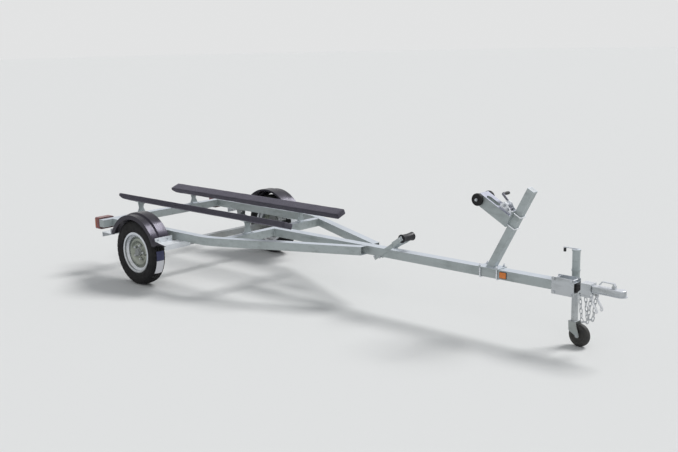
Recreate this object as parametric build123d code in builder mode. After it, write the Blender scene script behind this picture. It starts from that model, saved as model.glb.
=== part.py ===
from build123d import *
import os
from math import asin, atan2, cos, degrees, pi, radians, sin, tan

# Galvanised bunk trailer for a small flat-bottomed boat, parked on its jack.
# All sizes are in millimetres. +X runs forward to the coupler, +Y to the left, +Z up.
# Stations are distances along X, measured forward from the axle.

# Wheels
tyre_diameter = 536.0
tyre_width = 119.0
tread_width = 92.0
tread_crown = 3.0
bead_diameter = 304.8
rim_width = 101.6
rim_flange_height = 15.6
rim_thickness = 3.0
rim_well_depth = 20.0
rim_well_width = 44.0
disc_offset = 8.0
disc_thickness = 4.0
disc_crown_depth = 20.0
disc_bend_radius = 6.0
pilot_radius = 36.0
lug_count = 5
lug_circle = 114.3
lug_hole_radius = 7.5
track = 1488.0
seat_gap = 0.3
running_gap = 0.05

# Hub and axle
hub_flange_radius = 73.0
hub_flange_thickness = 9.0
hub_barrel_radius = 34.0
hub_inner_length = 52.0
hub_cap_radius = 27.0
hub_cap_length = 34.0
spindle_radius = 17.0
axle_tube = 50.8
hub_to_axle_gap = 8.0

# Frame tubes
tube = 63.5
tube_wall = 3.0
tongue_width = 76.2
frame_top = 455.0
rail_to_tyre_gap = 64.5
rail_bend_angle = 23.8
rail_bend_radius = 450.0
tail_overhang = 94.0
tail_cap = 3.0
tail_station = -622.0
front_member_station = 790.0
rail_tip_station = 1855.0
tongue_tip_station = 3588.0
nose_station = 3930.0

# Leaf springs
spring_half_length = 285.0
spring_short_half_length = 190.0
spring_camber = 52.0
leaf_thickness = 7.0
leaf_width = 44.5
eye_radius = 13.0
eye_bolt_radius = 7.0
hanger_plate = 5.0
hanger_length = 60.0
clamp_plate = 8.0
clamp_rod = 10.0
rod_sides = 8
side_gap = 1.5

# Fenders
fender_radius = 323.0
fender_width = 154.0
fender_start_angle = 14.0
fender_sheet = 3.0
fender_inner_lip = 14.0
fender_outer_lip = 45.0
fender_step = 12.0
fender_step_width = 68.0
fender_tip_drop = 30.0
fender_tip_rise = 22.0
arm_inner_station = 330.0
arm_depth = 100.0
arm_plate = 5.0
arm_flange = 42.0
arm_under_rail = 55.0
arm_foot_station = 296.0
arm_upright_station = 303.0
arm_upright_height = 40.0
arm_rail_gap = 30.0

# Bunks
bunk_rear_station = -860.0
bunk_front_station = 1290.0
bunk_half_spacing = 296.0
bunk_height = 574.0
bunk_width = 97.0
bunk_thickness = 48.0
bunk_corner = 10.0
bunk_tilt = 20.0
bunk_rear_bevel = 62.0
bunk_end_round = 8.0
bunk_nose_drop = 10.0
bracket_plate = 5.0
bracket_foot = 84.0
bracket_foot_width = 50.0
bracket_top = 60.0
bracket_top_width = 62.0
bracket_waist = 46.0

# Tail lamps and reflectors
lamp_width = 146.0
lamp_height = 100.0
lamp_depth = 78.0
lamp_side_inset = 4.0
lamp_drop = 7.0
reflector_station = 3060.0
reflector_length = 57.0
reflector_height = 46.0
reflector_depth = 6.0

# Keel roller
keel_roller_station = 2208.0
keel_roller_height = 558.0
keel_roller_length = 127.0
keel_roller_radius = 32.0
keel_roller_waist = 27.0
keel_bar_width = 32.0
keel_bar_plate = 6.0
keel_bar_angle = 34.0
keel_bar_below = 26.0
keel_shaft_radius = 8.0
keel_side_gap = 5.0
keel_joggle_start = 150.0
keel_joggle_length = 34.0
keel_bolt_radius = 5.0

# Winch post, bow arm and bow wheels
post_station = 2945.0
post_tube = 50.8
post_wall = 3.0
post_lean = 28.9
post_length = 631.0
foot_plate = 6.0
foot_length = 170.0
foot_width = 108.0
u_bolt_rod = 10.0
u_bolt_inset = 18.0
u_bolt_stand = 26.0
arm_seat_distance = 362.0
arm_length = 278.0
arm_height = 80.0
arm_sheet = 4.0
arm_width = 96.0
arm_plate_rise = 23.0
arm_end_plate = 5.0
arm_end_width = 104.0
arm_end_height = 126.0
bow_wheel_radius = 42.5
bow_wheel_width = 26.0
bow_shaft_radius = 6.5
bow_shaft_inset = 16.0
bow_side_gap = 5.0
arm_slot_length = 114.0
arm_slot_width = 42.0
arm_slot_run = 178.0
arm_slot_shift = 14.0
arm_bolt_inset = 16.0

# Winch
winch_base_length = 96.0
winch_sheet = 4.0
winch_width = 60.0
winch_height = 52.0
winch_offset = 20.0
drum_radius = 13.0
drum_flange_radius = 22.0
drum_flange = 3.0
drum_run = 66.0
drum_rise = 30.0
shaft_run = 32.0
shaft_rise = 21.0
winch_shaft_radius = 7.0
crank_length = 118.0
crank_bar = 16.0
crank_sheet = 5.0
crank_grip_length = 64.0
crank_grip_radius = 11.0
crank_lean = 17.0

# Coupler
neck_rear_station = 3500.0
neck_front_station = 3690.0
neck_width = 44.0
neck_wall = 4.0
coupler_rear_station = 3642.0
coupler_shoulder_station = 3822.0
coupler_width = 53.0
coupler_sheet = 4.0
coupler_nose_radius = 33.0
coupler_height = 42.0
coupler_rise = 3.0
coupler_ball = 50.8
coupler_flange = 7.0
dome_drop = 21.0
saddle_length = 70.0
saddle_width = 72.0
latch_length = 100.0
latch_width = 22.0
latch_sheet = 5.0
latch_lift = 34.0
latch_bolt_radius = 6.0
clamp_thickness = 14.0

# Jack
jack_station = 3510.0
jack_side = 119.0
jack_outer_diameter = 50.8
jack_wall = 3.0
jack_top = 627.0
jack_ring_height = 496.0
jack_bottom = 350.0
jack_leg_top = 480.0
jack_pivot_plate = 5.0
jack_plate_length = 162.0
jack_plate_height = 112.0
jack_plate_bolt_radius = 6.0
pivot_radius = 14.0
swivel_plate_radius = 47.0
swivel_plate = 6.0
swivel_gap = 0.8
jack_cap_height = 12.0
jack_crank_length = 84.0
jack_knob_length = 30.0
jack_knob_radius = 9.0
jack_knob_drop = 28.0
caster_diameter = 152.0
caster_width = 44.0
caster_hub_radius = 15.0
caster_web_radius = 47.0
caster_web_depth = 7.0
caster_trail = 42.0
caster_yaw = -6.0
fork_plate = 4.0
fork_top = 167.0
fork_skirt = 64.0
fork_side_gap = 5.5
fork_tip_radius = 15.0
caster_axle_radius = 6.0
kingpin_radius = 8.0
kingpin_length = 40.0

# Safety chains
chain_station = 3668.0
chain_links = 13
chain_wire = 6.0
wire_sides = 6
chain_pitch = 30.0
chain_bend = 22.0
chain_lean = 6.0
chain_link_width = 23.0
ear_below = 34.0
ear_sheet = 5.0
ear_length = 108.0
ear_rim = 8.0
ear_hole_radius = 7.0

# Derived places
axle_x = -(nose_station + bunk_rear_station) / 2
wheel_z = tyre_diameter / 2
wheel_y = track / 2
rail_half_width = wheel_y - tyre_width / 2 - rail_to_tyre_gap
tail_half_length = rail_half_width + tail_overhang
frame_bottom = frame_top - tube
frame_mid = frame_top - tube / 2
tongue_half = tongue_width / 2


def at(station):
    """X of a station that is measured forward from the axle."""
    return axle_x + station


def save(builder, name):
    """Label a finished piece and write it as its own file."""
    builder.part.label = name
    export_step(builder.part, f"parts/{name}.step")


os.makedirs("parts", exist_ok=True)

# Tongue: a straight rectangular tube from the front cross member to the coupler
tongue_rear_x = at(front_member_station) + tube
tongue_tip_x = at(tongue_tip_station)
with BuildPart() as tongue_tube:
    with BuildSketch(Plane.YZ.offset(tongue_rear_x)):
        with Locations((0, frame_mid)):
            Rectangle(tongue_width, tube)
            Rectangle(tongue_width - 2 * tube_wall, tube - 2 * tube_wall, mode=Mode.SUBTRACT)
    extrude(amount=tongue_tip_x - tongue_rear_x)
save(tongue_tube, "tongue_tube")

# Side rails: bent once, mitred onto the tongue's side and open at the front
rail_tip_x = at(rail_tip_station)
rail_slope = tan(radians(rail_bend_angle))
rail_lateral = tube / 2 / cos(radians(rail_bend_angle))
rail_line_y = rail_half_width - tube / 2
rail_tip_y = tongue_half - tube_wall + rail_lateral
rail_knee_x = rail_tip_x - (rail_line_y - rail_tip_y) / rail_slope
rail_start_x = at(tail_station) + tube
rail_run_on = tube
with BuildPart() as rail_left:
    with BuildLine() as rail_path:
        FilletPolyline(
            (rail_start_x, rail_line_y, frame_mid),
            (rail_knee_x, rail_line_y, frame_mid),
            (rail_tip_x + rail_run_on, rail_tip_y - rail_run_on * rail_slope, frame_mid),
            radius=rail_bend_radius,
        )
    with BuildSketch(Plane.YZ.offset(rail_start_x)):
        with Locations((rail_line_y, frame_mid)):
            Rectangle(tube, tube)
            Rectangle(tube - 2 * tube_wall, tube - 2 * tube_wall, mode=Mode.SUBTRACT)
    sweep(path=rail_path.line)
    split(bisect_by=Plane.YZ.offset(rail_tip_x), keep=Keep.BOTTOM)
    with BuildSketch(Plane.XY.offset(frame_bottom)):
        with Locations((rail_tip_x, 0)):
            Rectangle(2 * tube, tongue_width)
    extrude(amount=tube, mode=Mode.SUBTRACT)
save(rail_left, "rail_left")
with BuildPart() as rail_right:
    add(mirror(rail_left.part, about=Plane.XZ))
save(rail_right, "rail_right")


def rail_inner_y(x):
    """Y of the left rail's inner face on its slanted run."""
    return tongue_half - tube_wall + (rail_tip_x - x) * rail_slope


# Front cross member: between the rails, with ends cut to their slant
front_x = at(front_member_station)
with BuildPart() as front_cross_member:
    with BuildSketch(Plane.XY.offset(frame_bottom)):
        with BuildLine():
            Polyline(
                (front_x, -rail_inner_y(front_x)),
                (front_x + tube, -rail_inner_y(front_x + tube)),
                (front_x + tube, rail_inner_y(front_x + tube)),
                (front_x, rail_inner_y(front_x)),
                close=True,
            )
        make_face()
    extrude(amount=tube)
    with BuildSketch(Plane.XZ):
        with Locations((front_x + tube / 2, frame_mid)):
            Rectangle(tube - 2 * tube_wall, tube - 2 * tube_wall)
    extrude(amount=rail_half_width, both=True, mode=Mode.SUBTRACT)
save(front_cross_member, "front_cross_member")

# Rear cross member: behind the rails, long enough to carry the lamps
tail_x = at(tail_station)
with BuildPart() as rear_cross_member:
    with BuildSketch(Plane.XZ):
        with Locations((tail_x + tube / 2, frame_mid)):
            Rectangle(tube, tube)
            Rectangle(tube - 2 * tube_wall, tube - 2 * tube_wall, mode=Mode.SUBTRACT)
    extrude(amount=tail_half_length, both=True)
    for side in (-1, 1):
        with BuildSketch(Plane.XZ.offset(side * tail_half_length)):
            with Locations((tail_x + tube / 2, frame_mid)):
                Rectangle(tube, tube)
        extrude(amount=-side * tail_cap)
save(rear_cross_member, "rear_cross_member")

# Axle: square tube with a turned spindle welded into each end
hub_face_y = wheel_y + disc_offset
hub_inner_y = hub_face_y - hub_flange_thickness - hub_inner_length
axle_half = hub_inner_y - hub_to_axle_gap
spindle_tip_y = hub_face_y + hub_cap_length / 2
with BuildPart() as axle:
    with BuildSketch(Plane.XZ):
        with Locations((axle_x, wheel_z)):
            Rectangle(axle_tube, axle_tube)
    extrude(amount=axle_half, both=True)
    with BuildSketch(Plane.XZ):
        with Locations((axle_x, wheel_z)):
            Circle(spindle_radius)
    extrude(amount=spindle_tip_y, both=True)
save(axle, "axle")

# Wheels: tyre, pressed steel rim and hub, made on the left and mirrored
bead_radius = bead_diameter / 2
flange_radius = bead_radius + rim_flange_height
rim_half = rim_width / 2
well_radius = bead_radius - rim_well_depth
tyre_radius = tyre_diameter / 2
wheel_axis = Axis((axle_x, wheel_y, wheel_z), (0, 1, 0))
wheel_plane = Plane(origin=(axle_x, wheel_y, wheel_z), x_dir=(1, 0, 0), z_dir=(0, 0, 1))
bulge_radius = (bead_radius + tyre_radius) / 2
shoulder_radius = tyre_radius - tread_crown
with BuildPart() as tyre_left:
    with BuildSketch(wheel_plane):
        with BuildLine():
            bead_line = Line(
                (bead_radius + seat_gap, -rim_half + seat_gap),
                (bead_radius + seat_gap, rim_half - seat_gap),
            )
            outer_bead = Line(bead_line @ 1, (flange_radius + seat_gap, rim_half - seat_gap))
            outer_wall = ThreePointArc(
                outer_bead @ 1,
                (bulge_radius, tyre_width / 2),
                (shoulder_radius - tread_crown, tread_width / 2),
            )
            tread = ThreePointArc(
                outer_wall @ 1,
                (tyre_radius, 0),
                (shoulder_radius - tread_crown, -tread_width / 2),
            )
            inner_wall = ThreePointArc(
                tread @ 1,
                (bulge_radius, -tyre_width / 2),
                (flange_radius + seat_gap, -rim_half + seat_gap),
            )
            Line(inner_wall @ 1, bead_line @ 0)
        make_face()
    revolve(axis=wheel_axis)
save(tyre_left, "tyre_left")

lug_polar = Plane(origin=(axle_x, hub_face_y, wheel_z), x_dir=(1, 0, 0), z_dir=(0, 1, 0))
well_half = rim_well_width / 2
disc_weld_radius = well_radius - rim_thickness
with BuildPart() as rim_left:
    with BuildSketch(wheel_plane):
        with BuildLine():
            Polyline(
                (flange_radius, -rim_half - rim_thickness),
                (flange_radius, -rim_half),
                (bead_radius, -rim_half),
                (bead_radius, -well_half - rim_well_depth / 2),
                (well_radius, -well_half),
                (well_radius, well_half),
                (bead_radius, well_half + rim_well_depth / 2),
                (bead_radius, rim_half),
                (flange_radius, rim_half),
                (flange_radius, rim_half + rim_thickness),
                (bead_radius - rim_thickness, rim_half + rim_thickness),
                (bead_radius - rim_thickness, well_half + rim_well_depth / 2 + rim_thickness),
                (disc_weld_radius, well_half + rim_thickness),
                (disc_weld_radius, -well_half - rim_thickness),
                (bead_radius - rim_thickness, -well_half - rim_well_depth / 2 - rim_thickness),
                (bead_radius - rim_thickness, -rim_half - rim_thickness),
                close=True,
            )
        make_face()
    revolve(axis=wheel_axis)
    crown_radius = (disc_weld_radius + hub_flange_radius) / 2
    with BuildSketch(wheel_plane):
        with BuildLine():
            disc_front = FilletPolyline(
                (pilot_radius, disc_offset + disc_thickness),
                (hub_flange_radius, disc_offset + disc_thickness),
                (crown_radius, disc_offset + disc_crown_depth),
                (disc_weld_radius, disc_offset + disc_thickness),
                radius=disc_bend_radius,
            )
            Line(disc_front @ 1, (disc_weld_radius, disc_offset))
            disc_back = FilletPolyline(
                (disc_weld_radius, disc_offset),
                (crown_radius, disc_offset + disc_crown_depth - disc_thickness),
                (hub_flange_radius, disc_offset),
                (pilot_radius, disc_offset),
                radius=disc_bend_radius,
            )
            Line(disc_back @ 1, disc_front @ 0)
        make_face()
    revolve(axis=wheel_axis)
    with BuildSketch(lug_polar):
        with PolarLocations(lug_circle / 2, lug_count):
            Circle(lug_hole_radius)
    extrude(amount=disc_thickness, mode=Mode.SUBTRACT)
save(rim_left, "rim_left")

hub_bore_radius = spindle_radius + running_gap
hub_bore_end_y = spindle_tip_y + side_gap
with BuildPart() as hub_left:
    with BuildSketch(wheel_plane):
        with BuildLine():
            Polyline(
                (hub_bore_radius, hub_inner_y - wheel_y),
                (hub_barrel_radius, hub_inner_y - wheel_y),
                (hub_barrel_radius, disc_offset - hub_flange_thickness),
                (hub_flange_radius - side_gap, disc_offset - hub_flange_thickness),
                (hub_flange_radius - side_gap, disc_offset),
                (hub_barrel_radius, disc_offset),
                (hub_barrel_radius, disc_offset + hub_cap_length / 2),
                (hub_cap_radius, disc_offset + hub_cap_length / 2),
                (hub_cap_radius, disc_offset + hub_cap_length),
                (0, disc_offset + hub_cap_length),
                (0, hub_bore_end_y - wheel_y),
                (hub_bore_radius, hub_bore_end_y - wheel_y),
                close=True,
            )
        make_face()
    revolve(axis=wheel_axis)
    with BuildSketch(lug_polar):
        with PolarLocations(lug_circle / 2, lug_count):
            Circle(lug_hole_radius - seat_gap)
    extrude(amount=disc_thickness * 3)
save(hub_left, "hub_left")

for made, name in ((tyre_left, "tyre_right"), (rim_left, "rim_right"), (hub_left, "hub_right")):
    with BuildPart() as mirrored:
        add(mirror(made.part, about=Plane.XZ))
    save(mirrored, name)

# Leaf springs: two leaves over the axle, an eye in front and a slipper end behind
spring_bottom = wheel_z + axle_tube / 2
spring_top = spring_bottom + 2 * leaf_thickness
spring_radius = (spring_half_length**2 + spring_camber**2) / (2 * spring_camber)
spring_centre_z = spring_top + spring_radius


def leaf_point(radius, angle):
    """A point on a leaf, by its radius and its angle from straight down, in X and Z."""
    return (axle_x + radius * sin(angle), spring_centre_z - radius * cos(angle))


main_angle = asin(spring_half_length / spring_radius)
short_angle = asin(spring_short_half_length / spring_radius)
eye_x, eye_leaf_z = leaf_point(spring_radius, main_angle)
eye_z = eye_leaf_z + eye_radius - leaf_thickness
with BuildPart() as spring_left:
    with BuildSketch(Plane.XZ.offset(-rail_line_y)):
        for inner, sweep_angle in (
            (spring_radius, main_angle),
            (spring_radius + leaf_thickness, short_angle),
        ):
            outer = inner + leaf_thickness
            with BuildLine():
                upper = ThreePointArc(
                    leaf_point(inner, -sweep_angle),
                    leaf_point(inner, 0),
                    leaf_point(inner, sweep_angle),
                )
                lower = ThreePointArc(
                    leaf_point(outer, sweep_angle),
                    leaf_point(outer, 0),
                    leaf_point(outer, -sweep_angle),
                )
                Line(upper @ 1, lower @ 0)
                Line(lower @ 1, upper @ 0)
            make_face()
        with Locations((eye_x, eye_z)):
            Circle(eye_radius)
            Circle(eye_bolt_radius + seat_gap, mode=Mode.SUBTRACT)
    extrude(amount=leaf_width / 2, both=True)
save(spring_left, "spring_left")

# Spring hangers: cheeks under the rail, with the eye bolt in front and a keeper pin behind
hanger_y = leaf_width / 2 + side_gap
slipper_x, slipper_z = leaf_point(spring_radius, -main_angle)
hanger_pins = (
    # x, z of the pin, radius of the pin
    (eye_x, eye_z, eye_bolt_radius),
    (slipper_x + hanger_length / 3, slipper_z - leaf_thickness - 3 * eye_bolt_radius, eye_bolt_radius),
)
with BuildPart() as spring_hangers_left:
    for pin_x, pin_z, pin_radius in hanger_pins:
        with BuildSketch(Plane.XZ.offset(-(rail_line_y - hanger_y - hanger_plate))):
            with BuildLine():
                Polyline(
                    (pin_x - hanger_length / 2, frame_bottom),
                    (pin_x + hanger_length / 2, frame_bottom),
                    (pin_x + hanger_length / 4, pin_z - 2 * pin_radius),
                    (pin_x - hanger_length / 4, pin_z - 2 * pin_radius),
                    close=True,
                )
            make_face()
        extrude(amount=-hanger_plate)
        with BuildSketch(Plane.XZ.offset(-(rail_line_y + hanger_y))):
            with BuildLine():
                Polyline(
                    (pin_x - hanger_length / 2, frame_bottom),
                    (pin_x + hanger_length / 2, frame_bottom),
                    (pin_x + hanger_length / 4, pin_z - 2 * pin_radius),
                    (pin_x - hanger_length / 4, pin_z - 2 * pin_radius),
                    close=True,
                )
            make_face()
        extrude(amount=-hanger_plate)
        with BuildSketch(Plane.XZ.offset(-rail_line_y)):
            with Locations((pin_x, pin_z)):
                Circle(pin_radius)
        extrude(amount=hanger_y + hanger_plate, both=True)
save(spring_hangers_left, "spring_hangers_left")

# Axle clamps: two U-bolts over the leaves and a plate under the axle
clamp_x = axle_tube / 2 + clamp_rod / 2 + side_gap
clamp_y = leaf_width / 2 + clamp_rod / 2 + side_gap
clamp_top = spring_top + clamp_rod / 2 + side_gap
clamp_bottom = wheel_z - axle_tube / 2 - clamp_plate
with BuildPart() as axle_clamp_left:
    with BuildSketch(Plane.XY.offset(clamp_bottom)):
        with Locations((axle_x, rail_line_y)):
            Rectangle(2 * clamp_x + 3 * clamp_rod, 2 * clamp_y + 2 * clamp_rod)
    extrude(amount=clamp_plate)
    for side in (-1, 1):
        rod_x = axle_x + side * clamp_x
        with BuildLine() as clamp_path:
            Polyline(
                (rod_x, rail_line_y - clamp_y, clamp_bottom - clamp_rod),
                (rod_x, rail_line_y - clamp_y, clamp_top),
                (rod_x, rail_line_y + clamp_y, clamp_top),
                (rod_x, rail_line_y + clamp_y, clamp_bottom - clamp_rod),
            )
        with BuildSketch(Plane(origin=clamp_path.line @ 0, z_dir=clamp_path.line % 0)):
            RegularPolygon(clamp_rod / 2, rod_sides)
        sweep(path=clamp_path.line, transition=Transition.RIGHT)
save(axle_clamp_left, "axle_clamp_left")

for made, name in (
    (spring_left, "spring_right"),
    (spring_hangers_left, "spring_hangers_right"),
    (axle_clamp_left, "axle_clamp_right"),
):
    with BuildPart() as mirrored:
        add(mirror(made.part, about=Plane.XZ))
    save(mirrored, name)

# Fenders: one pressed sheet swept round the wheel, with a stepped outer lip
fender_start = radians(fender_start_angle)
fender_arc = 180 - 2 * fender_start_angle
fender_plane = Plane(
    origin=(axle_x, wheel_y, wheel_z),
    x_dir=(cos(fender_start), 0, sin(fender_start)),
    z_dir=(-sin(fender_start), 0, cos(fender_start)),
)
fender_half = fender_width / 2
step_y = fender_half - fender_step_width
crown = fender_radius + fender_sheet
with BuildPart() as fender_left:
    with BuildSketch(fender_plane):
        with BuildLine():
            Polyline(
                (fender_radius - fender_inner_lip, -fender_half - fender_sheet),
                (crown, -fender_half - fender_sheet),
                (crown, step_y),
                (crown - fender_step, step_y + fender_step),
                (crown - fender_step, fender_half + fender_sheet),
                (fender_radius - fender_outer_lip, fender_half + fender_sheet),
                (fender_radius - fender_outer_lip, fender_half),
                (fender_radius - fender_step, fender_half),
                (fender_radius - fender_step, step_y + fender_step),
                (fender_radius, step_y),
                (fender_radius, -fender_half),
                (fender_radius - fender_inner_lip, -fender_half),
                close=True,
            )
        make_face()
    revolve(axis=Axis((axle_x, wheel_y, wheel_z), (0, -1, 0)), revolution_arc=fender_arc)
    cut_start_y = wheel_y - fender_half - 2 * fender_sheet
    fender_cuts = (
        # middle X and X length of the part cut off below the arms, Y length
        (axle_x, 3 * fender_radius, fender_width + 2 * fender_sheet),
        (axle_x - fender_radius, 2 * fender_radius, fender_width + 4 * fender_sheet),
    )
    for cut_x, cut_length, cut_width in fender_cuts:
        with BuildSketch(Plane.XZ.offset(-cut_start_y)):
            with Locations((cut_x, frame_bottom - fender_radius / 2)):
                Rectangle(cut_length, fender_radius)
        extrude(amount=-cut_width, mode=Mode.SUBTRACT)
    split(bisect_by=Plane.XY.offset(frame_bottom - fender_tip_drop), keep=Keep.TOP)
    lip_top = fender_radius - fender_step
    tip_points = (
        # distance in front of the axle, height above the arm's top
        (lip_top - fender_outer_lip / 2, -fender_tip_drop),
        (lip_top - fender_outer_lip / 2, fender_tip_rise),
        (fender_radius + fender_tip_rise, fender_tip_rise / 2),
        (arm_inner_station + arm_depth + fender_tip_rise, -arm_plate),
        (fender_radius + fender_tip_rise, fender_tip_rise - fender_tip_drop),
    )
    with BuildSketch(Plane.XZ.offset(-(wheel_y + fender_half))):
        with BuildLine():
            Polyline([(axle_x + ahead, frame_bottom + rise) for ahead, rise in tip_points], close=True)
        make_face()
    extrude(amount=-fender_sheet)
save(fender_left, "fender_left")

# Fender arms: angles under the rail that carry the fender's two ends
arm_reach_y = wheel_y + fender_width / 2 - fender_sheet
arm_root_y = rail_half_width - arm_under_rail
with BuildPart() as fender_arms_left:
    for side in (-1, 1):
        arm_inner_x = axle_x + side * arm_inner_station
        arm_outer_x = arm_inner_x + side * arm_depth
        arm_edge_x = arm_outer_x - side * arm_plate
        arm_top = frame_bottom
        with BuildSketch(Plane.XZ.offset(-arm_root_y)):
            with BuildLine():
                Polyline(
                    (arm_inner_x, arm_top),
                    (arm_outer_x, arm_top),
                    (arm_outer_x, arm_top - arm_flange),
                    (arm_edge_x, arm_top - arm_flange),
                    (arm_edge_x, arm_top - arm_plate),
                    (arm_inner_x, arm_top - arm_plate),
                    close=True,
                )
            make_face()
        extrude(amount=-(arm_reach_y - arm_root_y))
        foot_x = axle_x + side * arm_foot_station
        upright_x = axle_x + side * arm_upright_station
        with BuildSketch(Plane.XZ.offset(-(rail_half_width + arm_rail_gap))):
            with BuildLine():
                Polyline(
                    (foot_x, arm_top - arm_plate),
                    (foot_x, arm_top),
                    (upright_x, arm_top),
                    (upright_x, arm_top + arm_upright_height),
                    (upright_x + side * arm_plate, arm_top + arm_upright_height),
                    (upright_x + side * arm_plate, arm_top),
                    (arm_edge_x, arm_top),
                    (arm_edge_x, arm_top - arm_plate),
                    close=True,
                )
            make_face()
        extrude(amount=-(arm_reach_y - rail_half_width - arm_rail_gap))
save(fender_arms_left, "fender_arms_left")

for made, name in ((fender_left, "fender_right"), (fender_arms_left, "fender_arms_right")):
    with BuildPart() as mirrored:
        add(mirror(made.part, about=Plane.XZ))
    save(mirrored, name)

# Bunks: carpeted boards along the hull, tilted towards the keel
tilt = radians(bunk_tilt)
bunk_rear_x = at(bunk_rear_station)
bunk_length = bunk_front_station - bunk_rear_station
with BuildPart() as bunk_left:
    bunk_plane = Plane(
        origin=(bunk_rear_x, bunk_half_spacing, bunk_height),
        x_dir=(0, cos(tilt), sin(tilt)),
        z_dir=(1, 0, 0),
    )
    with BuildSketch(bunk_plane):
        RectangleRounded(bunk_width, bunk_thickness, bunk_corner)
    extrude(amount=bunk_length)
    bevel_plane = Plane(
        origin=(bunk_rear_x, bunk_half_spacing, bunk_height),
        x_dir=(1, 0, 0),
        z_dir=(0, cos(tilt), sin(tilt)),
    )
    with BuildSketch(bevel_plane):
        with BuildLine():
            Polyline(
                (0, 0),
                (bunk_rear_bevel, bunk_thickness / 2),
                (0, bunk_thickness / 2),
                close=True,
            )
            Polyline(
                (0, -bunk_thickness / 2),
                (bunk_nose_drop, -bunk_thickness / 2),
                (0, bunk_nose_drop - bunk_thickness / 2),
                close=True,
            )
        make_face()
    extrude(amount=bunk_width, both=True, mode=Mode.SUBTRACT)
    fillet(bunk_left.faces().sort_by(Axis.X)[-1].edges(), radius=bunk_end_round)
save(bunk_left, "bunk_left")
with BuildPart() as bunk_right:
    add(mirror(bunk_left.part, about=Plane.XZ))
save(bunk_right, "bunk_right")

# Bunk brackets: a foot on the cross member, a waisted web and a slanted seat for the board
seat_drop = bunk_thickness / 2 + bracket_plate
seat_y = bunk_half_spacing + seat_drop * sin(tilt)
seat_z = bunk_height - seat_drop * cos(tilt)


def seat_height(y):
    """Height of the seat's underside at a given Y."""
    return seat_z + (y - seat_y) * tan(tilt)


bracket_stations = (
    # name, X of the middle of the cross member that carries it
    ("rear", tail_x + tube / 2),
    ("front", front_x + tube / 2),
)
for place, bracket_x in bracket_stations:
    foot_half = bracket_foot / 2
    with BuildPart() as bracket:
        with BuildSketch(Plane.XY.offset(frame_top)):
            with Locations((bracket_x, bunk_half_spacing)):
                Rectangle(bracket_foot_width, bracket_foot)
        extrude(amount=bracket_plate)
        with BuildSketch(Plane.YZ.offset(bracket_x - bracket_plate / 2)):
            with BuildLine():
                base_z = frame_top + bracket_plate
                top_left = bunk_half_spacing - bracket_top_width / 2
                top_right = bunk_half_spacing + bracket_top_width / 2
                waist_z = (base_z + seat_z) / 2
                Polyline(
                    (bunk_half_spacing - foot_half, base_z),
                    (bunk_half_spacing - bracket_waist / 2, waist_z),
                    (top_left, seat_height(top_left)),
                    (top_right, seat_height(top_right)),
                    (bunk_half_spacing + bracket_waist / 2, waist_z),
                    (bunk_half_spacing + foot_half, base_z),
                    close=True,
                )
            make_face()
        extrude(amount=bracket_plate)
        seat_plane = Plane(
            origin=(bracket_x, seat_y, seat_z), x_dir=(1, 0, 0), z_dir=(0, -sin(tilt), cos(tilt))
        )
        with BuildSketch(seat_plane):
            Rectangle(bracket_top, bracket_top_width / cos(tilt))
        extrude(amount=bracket_plate)
    save(bracket, f"bunk_bracket_{place}_left")
    with BuildPart() as mirrored:
        add(mirror(bracket.part, about=Plane.XZ))
    save(mirrored, f"bunk_bracket_{place}_right")

# Tail lamps behind the ends of the rear cross member
lamp_y = tail_half_length - lamp_side_inset - lamp_width / 2
lamp_z = frame_mid - lamp_drop
with BuildPart() as tail_lamp_left:
    with BuildSketch(Plane.YZ.offset(tail_x)):
        with Locations((lamp_y, lamp_z)):
            RectangleRounded(lamp_width, lamp_height, bunk_corner)
    extrude(amount=-lamp_depth)
    fillet(tail_lamp_left.faces().sort_by(Axis.X)[0].edges(), radius=bunk_corner / 2)
save(tail_lamp_left, "tail_lamp_left")
with BuildPart() as tail_lamp_right:
    add(mirror(tail_lamp_left.part, about=Plane.XZ))
save(tail_lamp_right, "tail_lamp_right")

# Side reflectors on the tongue
reflector_x = at(reflector_station)
with BuildPart() as side_reflectors:
    for side in (-1, 1):
        with BuildSketch(Plane.XZ.offset(-side * tongue_half)):
            with Locations((reflector_x, frame_mid)):
                RectangleRounded(reflector_length, reflector_height, reflector_depth / 2)
        extrude(amount=-side * reflector_depth)
save(side_reflectors, "side_reflectors")

# Keel roller: two joggled bars clamped on the tongue, a shaft and a rubber roller
bar_angle = radians(keel_bar_angle)
keel_x = at(keel_roller_station)
bar_dir = (cos(bar_angle), 0, sin(bar_angle))
keel_bolt_z = frame_bottom - keel_bolt_radius
bar_length = (keel_roller_height - keel_bolt_z) / sin(bar_angle)
bar_foot = bar_length + keel_bar_below
bar_out = keel_roller_length / 2 + keel_side_gap
bar_plane = Plane(
    origin=(keel_x, 0, keel_roller_height), x_dir=bar_dir, z_dir=(sin(bar_angle), 0, -cos(bar_angle))
)
with BuildPart() as keel_bracket:
    for side in (-1, 1):
        with BuildSketch(bar_plane):
            with BuildLine():
                FilletPolyline(
                    (-bar_foot, side * tongue_half),
                    (-keel_joggle_start + keel_joggle_length, side * tongue_half),
                    (-keel_joggle_start + 2 * keel_joggle_length, side * bar_out),
                    (keel_bar_width / 2, side * bar_out),
                    radius=keel_bar_plate,
                )
                offset(amount=keel_bar_plate, side=Side.LEFT if side > 0 else Side.RIGHT)
            make_face()
        extrude(amount=keel_bar_width / 2, both=True)
    with BuildSketch(Plane.XZ):
        for bolt_shift in (-keel_bar_width / 2, keel_bar_width):
            with Locations((keel_x - bar_length * cos(bar_angle) + bolt_shift, keel_bolt_z)):
                Circle(keel_bolt_radius)
    extrude(amount=tongue_half + keel_bar_plate, both=True)
    with BuildSketch(Plane.XZ):
        with Locations((keel_x, keel_roller_height)):
            Circle(keel_shaft_radius)
    extrude(amount=bar_out + 2 * keel_bar_plate, both=True)
save(keel_bracket, "keel_bracket")

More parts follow.
